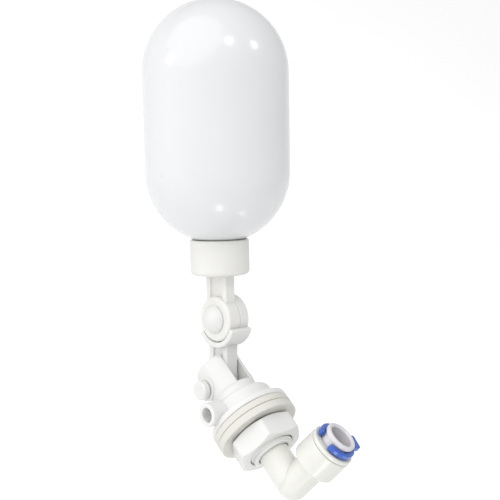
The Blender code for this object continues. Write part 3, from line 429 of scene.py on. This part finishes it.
def densely(points, longest):
    # more points along each side of an open line, none further apart than the longest step
    points = np.array(points, float)
    parts = []
    for first, last in zip(points[:-1], points[1:]):
        count = max(1, math.ceil(np.linalg.norm(last - first) / longest))
        parts.append(first + (last - first) * np.linspace(0, 1, count, endpoint=False)[:, None])
    return np.vstack(parts + [points[-1:]])


# the float: a blow-moulded bottle of even wall
bottle = {"wall": 1.2 * mm, "seam": 0.05 * mm, "seamWidth": 0.02, "seamTurn": 2.4,
          "uneven": 0.06 * mm, "neck": 6.6 * mm, "neckWall": 1.4 * mm, "lowerDome": 43.0 * mm}
bottleSize = measure("float_shell", bottlePlace)


def bottleSwell(angle, height, radius):
    # an uneven wall, uneven * (two slow waves), and the mould's thin parting line,
    # seam * exp(-(distance from the line / width)^2)
    share = np.clip(radius / bottleSize["outer"], 0, 1)
    waves = np.sin(2 * angle + 40 * height) * 0.5 + 0.5 * np.sin(3 * angle - 90 * height + 1)
    line = np.exp(-(np.sin(angle - bottle["seamTurn"]) / bottle["seamWidth"]) ** 2)
    return radius + share ** 3 * (bottle["uneven"] * waves + bottle["seam"] * line)


def bottleProfile():
    # the outside from the top down: dome, straight wall, dome, neck; then back up one wall inside
    outer = bottleSize["outer"]
    topDome, lowDome = bottleSize["high"] - outer, bottle["lowerDome"]
    points = [arcPoints(outer, 90, 0, 28, (0, topDome))]
    points.append(densely([(outer, topDome - 0.5 * mm), (outer, lowDome + 0.5 * mm)], 2 * mm))
    start = -math.degrees(math.acos(bottle["neck"] / outer))
    points.append(arcPoints(outer, 0, start, 22, (0, lowDome)))
    mouth = bottle["neck"] - bottle["neckWall"]
    points.append([(bottle["neck"], bottleSize["low"]), (mouth, bottleSize["low"])])
    inner = outer - bottle["wall"]
    points.append(arcPoints(inner, -math.degrees(math.acos(mouth / inner)), 0, 18, (0, lowDome)))
    points.append(arcPoints(inner, 0, 90, 20, (0, topDome)))
    profile = np.vstack(points)
    profile[0, 0] = profile[-1, 0] = 0
    return profile


makePiece("float_bottle", [turned(bottleProfile(), bottlePlace, 128, bottleSwell)],
          materials["bottlePlastic"], "float_arm", ["float_shell"])

# the upper arm: cap, stub with a groove in each face, and the near disc
upper = {"capRadius": 8.6 * mm, "capLow": 13.0 * mm, "capHigh": 23.28 * mm, "capFloor": 1.6 * mm,
         "capBore": 7.3 * mm, "capFillet": 1.3 * mm, "stubStart": 4.4 * mm, "stubHalf": 4.5 * mm,
         "stubEdge": 0.35 * mm, "groove": 2.6 * mm, "grooveDepth": 0.75 * mm, "near": 3.6 * mm,
         "far": 0.04 * mm, "disc": 6.7 * mm, "discNear": 4.4 * mm, "hole": 2.5 * mm,
         "edge": 0.9 * mm}


def grooved(half, groove, depth, near, far, edge):
    # an I section: a flat bar with one groove in its near face and one in its far face
    near, far = near - 0.02 * mm, far + 0.02 * mm
    floor = groove - 0.25 * mm
    corners = [(near, -half), (near, -groove), (near - depth, -floor), (near - depth, floor),
               (near, groove), (near, half), (far, half), (far, groove), (far + depth, floor),
               (far + depth, -floor), (far, -groove), (far, -half)]
    return roundCorners(corners, edge)


capFloor = upper["capLow"] + upper["capFloor"]
cap = roundCorners([(0, upper["capLow"]), (upper["capRadius"], upper["capLow"]),
                    (upper["capRadius"], upper["capHigh"]), (upper["capBore"], upper["capHigh"]),
                    (upper["capBore"], capFloor), (0, capFloor)],
                   (0, upper["capFillet"], 0.5 * mm, 0.2 * mm, 0.3 * mm, 0), closed=False, steps=8)
stub = grooved(upper["stubHalf"], upper["groove"], upper["grooveDepth"], upper["near"],
               upper["far"], upper["stubEdge"])
nearDisc = ringOf(upper["hole"], upper["disc"], upper["far"], upper["discNear"],
                  (0.2 * mm, 0.3 * mm, upper["edge"], 0.2 * mm), screwPlace, 128)
makePiece("upper_arm_moulding",
          [turned(cap, bottlePlace, 128),
           beam(stub, upper["stubStart"], upper["capLow"] + 0.8 * mm, armPlace), nearDisc],
          materials["capPlastic"], "float_arm", ["upper_arm"])

# the knuckle screw's dome, square neck and shank, and the nut behind
screw = {"radius": 4.1 * mm, "back": 4.45 * mm, "top": 7.2 * mm, "rim": 0.3 * mm,
         "shank": 1.5 * mm, "tip": -6.35 * mm, "square": 1.7 * mm, "squareLow": 0.8 * mm}


def domeProfile():
    # the dome is the part of a ball through its rim and top: ball = (r^2 + h^2) / 2h
    high = screw["top"] - screw["back"] - screw["rim"]
    ball = (screw["radius"] ** 2 + high ** 2) / (2 * high)
    rim = math.degrees(math.acos(screw["radius"] / ball))
    dome = arcPoints(ball, rim, 90, 24, (0, screw["top"] - ball))
    dome[-1, 0] = 0
    head = [(0, screw["tip"]), (screw["shank"], screw["tip"]), (screw["shank"], screw["back"]),
            (screw["radius"], screw["back"])]
    rounding = [0, 0.3 * mm, 0, 0.2 * mm, 0.35 * mm] + [0] * (len(dome) - 1)
    return roundCorners(np.vstack([head, dome]), rounding, closed=False)


side = screw["square"]
square = roundCorners([(-side, -side), (side, -side), (side, side), (-side, side)], 0.25 * mm)
squareNeck = beam(square, screw["squareLow"], screw["back"] + 0.4 * mm, screwPlace)
makePiece("knuckle_screw_moulding", [turned(domeProfile(), screwPlace, 96), squareNeck],
          materials["whitePlastic"], "float_arm", ["knuckle_screw"])

nutSize = {"flats": 6.4 * mm, "near": -3.55 * mm, "thickness": 2.3 * mm, "hole": 1.56 * mm,
           "corner": 0.4 * mm, "edge": 0.35 * mm}
hexagon = roundCorners(arcPoints(nutSize["flats"] / math.sqrt(3), 0, 360, 6)[:-1],
                       nutSize["corner"])
knuckleNut = slab(hexagon, nutSize["near"] - nutSize["thickness"], nutSize["near"],
                  nutSize["edge"], armPlace, hole=nutSize["hole"])
makePiece("knuckle_nut_moulding", [knuckleNut], materials["whitePlastic"], "float_arm",
          ["knuckle_nut"])
print("upper arm and knuckle made")

# the lever: cam and hub, grooved bar, far disc, and the cradle with its two horns
lever = {"half": 3.75 * mm, "thick": 2.1 * mm, "barNear": 2.4 * mm, "barFar": -1.9 * mm,
         "barHalf": 4.1 * mm, "barShift": -0.45 * mm, "groove": 2.1 * mm, "grooveDepth": 0.7 * mm,
         "pinHole": 1.5 * mm, "camBase": 2.5 * mm, "camLift": 2.0 * mm, "swing": 38.0,
         "screwHole": 1.8 * mm, "disc": 6.7 * mm, "near": -0.04 * mm, "far": -3.25 * mm,
         "cradleInner": 6.85 * mm, "cradleWall": 1.6 * mm, "cradleNear": 4.4 * mm,
         "innerHorn": 52.0, "outerHorn": 75.0, "edge": 0.4 * mm, "barEdge": 0.35 * mm,
         "hubEdge": 0.3 * mm, "hubRise": 1.2 * mm, "overlap": 0.6 * mm}
leverLength = float(np.linalg.norm(knuckle - pivot))
leverAngle = math.atan2(knuckle[2] - pivot[2], pivot[1] - knuckle[1])


def camFace():
    # the involute of a circle of radius lift: with reach = base + lift * a,
    # y = reach * cos a - lift * sin a and z = reach * sin a + lift * cos a
    angle = np.radians(np.linspace(0, lever["swing"] * 1.4, 15))
    reach = lever["camBase"] + lever["camLift"] * angle
    y = reach * np.cos(angle) - lever["camLift"] * np.sin(angle)
    z = reach * np.sin(angle) + lever["camLift"] * np.cos(angle)
    return np.column_stack([y * math.sin(leverAngle) + z * math.cos(leverAngle),
                            z * math.sin(leverAngle) - y * math.cos(leverAngle)])


camPoints = camFace()
hubTop = camPoints[-1, 1] + lever["hubRise"]
hub = np.vstack([arcPoints(lever["camBase"], math.degrees(leverAngle) - 90, -180, 16),
                 densely([(-lever["half"], hubTop - 0.8 * mm), (-lever["half"], hubTop),
                          (lever["half"], hubTop), (lever["half"], hubTop - 0.8 * mm)], 0.8 * mm),
                 camPoints[::-1]])
bar = grooved(lever["barHalf"], lever["groove"], lever["grooveDepth"], lever["barNear"],
              lever["barFar"], lever["barEdge"]) + (0, lever["barShift"])
cradleOuter = lever["cradleInner"] + lever["cradleWall"]
hornEnds, middle = (lever["outerHorn"] - 90, -90 - lever["innerHorn"]), (0, leverLength)
leverScrewPlace = placeAt(knuckle, (1, 0, 0), (0, 1, 0))
hubShell = slab(hub, -lever["thick"], lever["thick"], lever["hubEdge"], leverPlace,
                hole=lever["pinHole"])
barShell = beam(bar, hubTop - 0.7 * mm, leverLength - cradleOuter + 0.9 * mm, leverPlace)
cradle = bentBar(lever["cradleInner"], cradleOuter, lever["far"], lever["cradleNear"], *hornEnds,
                 lever["edge"], leverPlace, middle)
# a thin web closes the step between the far disc and the cradle
web = bentBar(lever["disc"] - lever["overlap"], lever["cradleInner"] + lever["overlap"],
              lever["far"] + 0.1 * mm, lever["near"] - 0.05 * mm, hornEnds[0] - 2, hornEnds[1] + 2,
              0.2 * mm, leverPlace, middle)
farDisc = ringOf(lever["screwHole"], lever["disc"], lever["far"], lever["near"], lever["edge"],
                 leverScrewPlace, 96)
makePiece("lower_arm_moulding", [hubShell, barShell, cradle, web, farDisc],
          materials["whitePlastic"], "lever", ["lower_arm"])

# the hinge pin and its push-on cap
pin = {"radius": 1.2 * mm, "head": 2.8 * mm, "headHeight": 2.1 * mm, "face": 7.6 * mm,
       "proud": 1.3 * mm, "round": 0.7 * mm, "capHole": 1.5 * mm, "capGap": 0.3 * mm}
pinProfile = roundCorners([(0, -pin["face"] - pin["proud"]),
                           (pin["radius"], -pin["face"] - pin["proud"]),
                           (pin["radius"], pin["face"]), (pin["head"], pin["face"]),
                           (pin["head"], pin["face"] + pin["headHeight"]),
                           (0, pin["face"] + pin["headHeight"])],
                          (0, 0.2 * mm, 0, 0.3 * mm, pin["round"], 0), closed=False, steps=7)
makePiece("hinge_pin_moulding", [turned(pinProfile, pinPlace, 64)], materials["whitePlastic"],
          "valve", ["hinge_pin"])
capEnd = -pin["face"] - pin["headHeight"]
holeEnd = -pin["face"] - pin["proud"] - pin["capGap"]
pinCap = roundCorners([(0, capEnd), (pin["head"], capEnd), (pin["head"], -pin["face"]),
                       (pin["capHole"], -pin["face"]), (pin["capHole"], holeEnd), (0, holeEnd)],
                      (0, pin["round"], 0.2 * mm, 0.15 * mm, 0, 0), closed=False)
makePiece("pin_cap_moulding", [turned(pinCap, pinPlace, 64)], materials["whitePlastic"], "valve",
          ["pin_cap"])
print("lever and pin made")

# the valve body: barrel, flange and threaded stem turned in one, the fork's two prongs, the pin
# bosses and the spout
body = {"guide": 2.9 * mm, "fork": 6.9 * mm, "forkEnd": -22.7 * mm, "slotHalf": 2.5 * mm,
        "slotBottom": -12.07 * mm, "barrel": 9.5 * mm, "barrelBack": -8.8 * mm,
        "barrelRound": 1.3 * mm, "flange": 12.3 * mm, "flangeBack": -3.9 * mm,
        "flangeFront": -2.1 * mm, "stem": 6.6 * mm, "stemEnd": 10.2 * mm, "pitch": 1.337 * mm,
        "thread": 0.5 * mm, "bore": 4.8 * mm, "boreEnd": -0.8 * mm, "chamber": 4.2 * mm,
        "chamberEnd": -8.93 * mm, "boss": 3.6 * mm, "bossStart": 2.8 * mm, "bossFace": 7.3 * mm,
        "spout": 3.4 * mm, "spoutBore": 2.1 * mm, "spoutStart": 4.8 * mm, "spoutReach": 14.0 * mm,
        "spoutY": -6.827 * mm, "edge": 0.35 * mm, "runOut": 0.5 * mm, "forkFillet": 1.0 * mm,
        "forkCorner": 0.5 * mm}


def stemSwell(angle, height, radius):
    # a helical thread: root + depth * triangle((height / pitch + turn) mod 1), flattened on its
    # crest and root, and run out at both ends
    turn = np.mod(height / body["pitch"] + angle / (2 * math.pi), 1)
    ridge = np.clip(2.4 * (1 - np.abs(2 * turn - 1)) - 0.7, 0, 1)
    start = np.clip((height - body["flangeFront"] - 0.6 * mm) / body["runOut"], 0, 1)
    end = np.clip((body["stemEnd"] - 0.5 * mm - height) / body["runOut"], 0, 1)
    onStem = np.abs(radius - body["stem"] + body["thread"]) < 0.02 * mm
    return radius + np.where(onStem, body["thread"] * ridge * start * end, 0)


def bodyProfile():
    # the outside from the slot's floor to the stem's end, then back along the bore and chamber
    root = body["stem"] - body["thread"]
    outside = [(body["guide"], body["slotBottom"]), (body["fork"] - 0.02 * mm, body["slotBottom"]),
               (body["fork"] - 0.02 * mm, body["barrelBack"]), (body["barrel"], body["barrelBack"]),
               (body["barrel"], body["flangeBack"]), (body["flange"], body["flangeBack"]),
               (body["flange"], body["flangeFront"]), (root, body["flangeFront"]),
               (root, body["stemEnd"]), (body["bore"], body["stemEnd"]),
               (body["bore"], body["boreEnd"]), (body["chamber"], body["boreEnd"]),
               (body["chamber"], body["chamberEnd"]), (body["guide"], body["chamberEnd"])]
    rounding = np.array([0, 0.2, 0.8, body["barrelRound"] / mm, 0.8, 0.45, 0.35, 0.3, 0.3, 0.2, 0,
                         0, 0, 0]) * mm
    profile = roundCorners(outside, rounding, steps=6)
    onStem = np.flatnonzero(np.abs(profile[:, 0] - root) < 1e-7)
    first, last = onStem[0], onStem[-1]
    return np.vstack([profile[:first], densely(profile[first:last + 1], body["pitch"] / 14),
                      profile[last + 1:]])


def prong(sign):
    # one side of the fork: at each station the part of a circle where |x| > slot half width, with
    # rounded corners; the radius shrinks round the fork's end by a quarter circle
    fillet = body["forkFillet"]
    turn = np.linspace(0, math.pi / 2, 7)
    stations = [(body["fork"] - fillet + fillet * math.sin(t),
                 body["forkEnd"] + fillet * (1 - math.cos(t))) for t in turn]
    stations += [(body["fork"], body["slotBottom"] + share * mm) for share in (-6.0, 0.0, 0.6)]
    rows = []
    for radius, height in stations:
        reach = math.degrees(math.acos(body["slotHalf"] / radius))
        arcs = arcPoints(radius, -reach, reach, 32)
        rounding = [body["forkCorner"]] + [0] * 31 + [body["forkCorner"]]
        section = roundCorners(arcs, rounding, steps=5)
        along = np.full(len(section), height)
        rows.append(np.column_stack([sign * section[:, 0], section[:, 1], along]))
    return gridShell(toWorld(np.stack(rows), bodyPlace), False, True)


def boss(sign):
    # a round boss on one side of the fork: a rod about the pin's axis, from inside the prong out
    bossPlace = placeAt(pivot, (sign, 0, 0), (0, 1, 0))
    return rodOf(body["boss"], body["bossStart"], body["bossFace"], body["edge"], bossPlace)


spoutPlace = placeAt((0, body["spoutY"], 0), (1, 0, 0), (0, 1, 0))
spout = ringOf(body["spoutBore"], body["spout"], body["spoutStart"], body["spoutReach"],
               body["edge"], spoutPlace, 64)
barrel = turned(bodyProfile(), bodyPlace, 128, stemSwell)
makePiece("valve_body_moulding", [barrel, prong(1), prong(-1), boss(1), boss(-1), spout],
          materials["whitePlastic"], "valve", ["valve_body"])
print("valve body made")

# the wall fixings: gasket, outer washer and nut
washer = {"radius": 12.3 * mm, "bore": 6.9 * mm, "round": 0.3 * mm, "uneven": 0.05 * mm,
          "swell": 0.22 * mm}


def washerSwell(angle, height, radius):
    # the cut edge of soft sheet: uneven * (sin 3a + half of sin 7a), on the outer edge only
    edge = np.clip(radius / washer["radius"] * 6 - 5, 0, 1)
    return radius + edge * washer["uneven"] * (np.sin(3 * angle + 1) + 0.5 * np.sin(7 * angle))


for name, node, part in (("gasket_ring", "flange_gasket", "valve"),
                         ("washer_ring", "outer_washer", "washer")):
    size = measure(node, bodyPlace)
    flatRing = ringOf(washer["bore"], washer["radius"], size["low"] - washer["swell"],
                      size["high"], washer["round"], bodyPlace, 128, washerSwell)
    makePiece(name, [flatRing], materials["paleRubber"], part, [node])

hexNut = {"flats": 18.4 * mm, "back": 2.6 * mm, "front": 9.1 * mm, "turn": 3.0,
          "bore": 6.9 * mm, "slope": 0.55, "corner": 46.0}


def hexSwell(angle, height, radius):
    # six flats: radius = flat / (sum of |cos(angle - side)|^p)^(1/p), and then the lower of that
    # and the turned cone
    half = hexNut["flats"] / 2
    sides = np.radians(hexNut["turn"] + 30 + 60 * np.arange(3))
    power = hexNut["corner"]
    total = sum(np.abs(np.cos(angle - side)) ** power for side in sides)
    flats = half / total ** (1 / power)
    outside = radius > half * 0.9
    return np.where(outside, smoothLow(radius, flats, 0.05 * mm), radius)


def nutProfile():
    # back face, chamfer cone, side, chamfer cone, front face, and the threaded bore back
    half = hexNut["flats"] / 2
    wide = hexNut["flats"] / math.sqrt(3) + 0.3 * mm
    rise = (wide - half) * hexNut["slope"]
    line = [(hexNut["bore"], hexNut["back"]), (half - 0.25 * mm, hexNut["back"]),
            (wide, hexNut["back"] + rise), (wide, hexNut["front"] - rise),
            (half - 0.25 * mm, hexNut["front"]), (hexNut["bore"], hexNut["front"])]
    outside = roundCorners(line, (0.3 * mm, 0.25 * mm, 0.2 * mm, 0.2 * mm, 0.25 * mm, 0.3 * mm))
    return np.vstack([densely(outside, 0.25 * mm), outside[:1]])[:-1]


makePiece("hex_nut_moulding", [turned(nutProfile(), bodyPlace, 240, hexSwell)],
          materials["whitePlastic"], "nut", ["hex_nut"])
print("wall fixings made")

# the elbow: a ball corner under an upright socket, and the leg into the stem
elbow = {"leg": 4.5 * mm, "spigot": 4.5 * mm, "waterway": 2.2 * mm, "base": 8.7 * mm,
         "socket": 6.6 * mm, "top": 16.2 * mm, "shoulder": 0.8 * mm, "bore": 5.6 * mm,
         "ringFloor": 9.5 * mm, "tube": 3.375 * mm, "ledge": 7.5 * mm}
ball = arcPoints(elbow["leg"], -90, 0, 20)
ball[0] = (0, -elbow["leg"])
cup = np.vstack([ball, [(elbow["leg"], elbow["base"]), (elbow["socket"], elbow["base"]),
                        (elbow["socket"], elbow["top"]), (elbow["bore"], elbow["top"]),
                        (elbow["bore"], elbow["ringFloor"]), (elbow["tube"], elbow["ringFloor"]),
                        (elbow["tube"], elbow["ledge"]), (elbow["waterway"], elbow["ledge"]),
                        (elbow["waterway"], 0), (0, -1.3 * mm)]])
cupRounds = [0] * len(ball) + [0.5 * mm, elbow["shoulder"], 0.35 * mm, 0.2 * mm, 0.2 * mm, 0.2 * mm,
                               0.2 * mm, 0, 0, 0]
legStart = measure("elbow_body", bodyPlace)["low"]
leg = roundCorners([(elbow["waterway"], legStart), (elbow["spigot"], legStart),
                    (elbow["spigot"], body["stemEnd"] + 0.3 * mm),
                    (elbow["leg"], body["stemEnd"] + 0.4 * mm), (elbow["leg"], corner[1]),
                    (elbow["waterway"], corner[1])], (0.2 * mm, 0.4 * mm, 0, 0.1 * mm, 0, 0))
socketShell = turned(roundCorners(cup, cupRounds, closed=False, steps=8), socketPlace, 128)
makePiece("elbow_moulding", [socketShell, turned(leg, bodyPlace, 128)],
          materials["ivoryPlastic"], "elbow", ["elbow_body"])

# the flanged sleeve in the socket's mouth, the collet that slides in it, and the blue clip
cartridge = {"bore": 4.4 * mm, "sleeve": 5.3 * mm, "bottom": 14.0 * mm, "flange": 6.5 * mm,
             "shoulder": 16.3 * mm, "top": 17.5 * mm}
sleeve = roundCorners([(cartridge["bore"], cartridge["bottom"]),
                       (cartridge["sleeve"], cartridge["bottom"]),
                       (cartridge["sleeve"], cartridge["shoulder"]),
                       (cartridge["flange"], cartridge["shoulder"]),
                       (cartridge["flange"], cartridge["top"]),
                       (cartridge["bore"], cartridge["top"])],
                      np.array([0.2, 0.2, 0.1, 0.25, 0.4, 0.25]) * mm)
makePiece("cartridge_moulding", [turned(sleeve, socketPlace, 128)], materials["ivoryPlastic"],
          "elbow", ["collet_cartridge"])

collet = {"bore": 3.375 * mm, "sleeve": 4.1 * mm, "bottom": 14.3 * mm, "head": 4.6 * mm,
          "under": 19.8 * mm, "top": 21.1 * mm, "lead": 0.45 * mm}
colletLine = roundCorners([(collet["bore"], collet["bottom"]), (collet["sleeve"], collet["bottom"]),
                           (collet["sleeve"], collet["under"]), (collet["head"], collet["under"]),
                           (collet["head"], collet["top"]),
                           (collet["bore"] + collet["lead"], collet["top"]),
                           (collet["bore"], collet["top"] - collet["lead"])],
                          np.array([0.1, 0.25, 0.15, 0.25, 0.45, 0.25, 0.25]) * mm)
makePiece("collet_moulding", [turned(colletLine, socketPlace, 128)], materials["colletPlastic"],
          "collet", ["collet"])

clip = {"outer": 5.8 * mm, "inner": 4.4 * mm, "low": 17.8 * mm, "high": 19.5 * mm, "mouth": 46.0,
        "direction": -9.0, "tabReach": 8.2 * mm, "tabHalf": 2.2 * mm, "tabRound": 0.6 * mm,
        "edge": 0.4 * mm}
clipPlace = {"origin": corner, "axes": np.roll(socketPlace["axes"], 1, 0)}
clipMouth = clip["direction"] + clip["mouth"] / 2, clip["direction"] + 360 - clip["mouth"] / 2
tabTurn = math.radians(clip["direction"])
tabRoot = -clip["inner"] - 0.6 * mm
tab = roundCorners([(-clip["tabReach"], -clip["tabHalf"]), (tabRoot, -clip["tabHalf"]),
                    (tabRoot, clip["tabHalf"]), (-clip["tabReach"], clip["tabHalf"])],
                   clip["tabRound"])
tab = tab @ np.array([[math.cos(tabTurn), math.sin(tabTurn)],
                      [-math.sin(tabTurn), math.cos(tabTurn)]])
openRing = bentBar(clip["inner"], clip["outer"], clip["low"], clip["high"], *clipMouth,
                   clip["edge"], clipPlace)
tabShell = slab(tab, clip["low"] + 0.1 * mm, clip["high"] + 0.3 * mm, clip["edge"], clipPlace)
makePiece("locking_clip_moulding", [openRing, tabShell], materials["clipPlastic"], "clip",
          ["locking_clip"])
print("elbow, collet and clip made")

# the hidden pieces keep their own shapes and take a finish each
hidden = {"plunger": "whitePlastic", "inlet_nozzle": "whitePlastic",
          "backup_ring": "ivoryPlastic", "neck_seal": "paleRubber",
          "nozzle_oring": "sealRubber", "plunger_oring": "sealRubber", "seat_seal": "sealRubber",
          "spigot_oring": "sealRubber", "tube_oring": "sealRubber", "grip_ring": "springSteel"}
for node, finish in hidden.items():
    mesh = frame["nodes"][node].data
    mesh.materials.clear()
    mesh.materials.append(materials[finish])

# the floor, the studio's soft lights and the view
view = {"target": (0.00131, -0.03349, 0.03820), "azimuth": 126.72, "elevation": 34.09,
        "roll": -31.36, "distance": 0.2839, "lens": 72.4}
# each lamp: across, above and towards the eye, then its distance, width and power
lamps = {"topNear": (0.307, 0.676, 0.670, 0.5, 0.10, 0.22),
         "topFar": (0.753, 0.593, 0.284, 0.5, 0.10, 0.14),
         "left": (-0.90, 0.30, 0.32, 0.5, 0.09, 0.09),
         "lowNear": (0.012, -0.862, 0.507, 0.2, 0.045, 0.022),
         "lowFar": (0.485, -0.866, 0.119, 0.15, 0.03, 0.006)}
sky = {"direction": (-0.55, 0.75, 0.65), "spread": 80.0, "strength": 1.15, "world": 0.68}
floorSize = {"drop": 30 * mm, "half": 3.0}


def viewAxes(azimuth, elevation, roll):
    # right, up and back of a view from azimuth and elevation, turned about its own line by the roll
    turn, rise, tilt = (math.radians(value) for value in (azimuth, elevation, roll))
    back = np.array([math.sin(turn) * math.cos(rise), -math.cos(turn) * math.cos(rise),
                     math.sin(rise)])
    level = np.cross((0, 0, 1), back)
    level /= np.linalg.norm(level)
    upright = np.cross(back, level)
    up = upright * math.cos(tilt) + level * math.sin(tilt)
    return np.cross(up, back), up, back


def placed(thing, origin, right, up, back):
    # columns of the matrix are the three axes and the place
    matrix = np.eye(4)
    matrix[:3, :4] = np.column_stack([right, up, back, origin])
    thing.matrix_world = Matrix(matrix.tolist())


right, up, back = viewAxes(view["azimuth"], view["elevation"], view["roll"])
target = np.array(view["target"])
lens = bpy.data.cameras.new("viewLens")
lens.lens, lens.sensor_width, lens.clip_start, lens.clip_end = view["lens"], 36, 0.01, 20
camera = bpy.data.objects.new("viewCamera", lens)
bpy.context.scene.collection.objects.link(camera)
placed(camera, target + back * view["distance"], right, up, back)
bpy.context.scene.camera = camera


def hang(name, lamp, direction, distance):
    # a lamp at target + distance * (across * right + above * up + towards * back), facing it
    away = direction[0] * right + direction[1] * up + direction[2] * back
    away /= np.linalg.norm(away)
    holder = bpy.data.objects.new(name + "Lamp", lamp)
    bpy.context.scene.collection.objects.link(holder)
    level = np.cross((0.3, 0.2, 1.0), away)
    level /= np.linalg.norm(level)
    placed(holder, target + away * distance, level, np.cross(away, level), away)


for name, (across, above, towards, distance, size, power) in lamps.items():
    lamp = bpy.data.lights.new(name + "Light", "AREA")
    lamp.shape, lamp.size, lamp.energy = "DISK", size, power
    hang(name, lamp, (across, above, towards), distance)
sun = bpy.data.lights.new("skyLight", "SUN")
sun.energy, sun.angle = sky["strength"], math.radians(sky["spread"])
hang("sky", sun, sky["direction"], 0.6)

world = bpy.data.worlds.new("studio")
world.use_nodes = True
world.node_tree.nodes["Background"].inputs["Color"].default_value = (1.0, 1.0, 1.0, 1)
world.node_tree.nodes["Background"].inputs["Strength"].default_value = sky["world"]
bpy.context.scene.world = world
bpy.context.scene.view_settings.view_transform = "Standard"

low = float(np.array(cadBox)[0][2]) - floorSize["drop"]
half = floorSize["half"]
floorMesh = bpy.data.meshes.new("floor")
floorMesh.from_pydata([(-half, -half, low), (half, -half, low), (half, half, low),
                       (-half, half, low)], [], [(0, 1, 2, 3)])
floorPaint = {"colours": ((0.90, 0.90, 0.90), (0.93, 0.93, 0.93)), "rough": (0.7, 0.8),
              "cloud": 3, "grain": 300, "flow": 0.1, "bump": 0.0, "dust": 0.0,
              "shader": {"Emission Color": (1, 1, 1, 1), "Emission Strength": 0.25}}
floorMesh.materials.append(makeFinish("floorPaint", floorPaint))
floor = bpy.data.objects.new("floor", floorMesh)
bpy.context.scene.collection.objects.link(floor)
print("studio made")
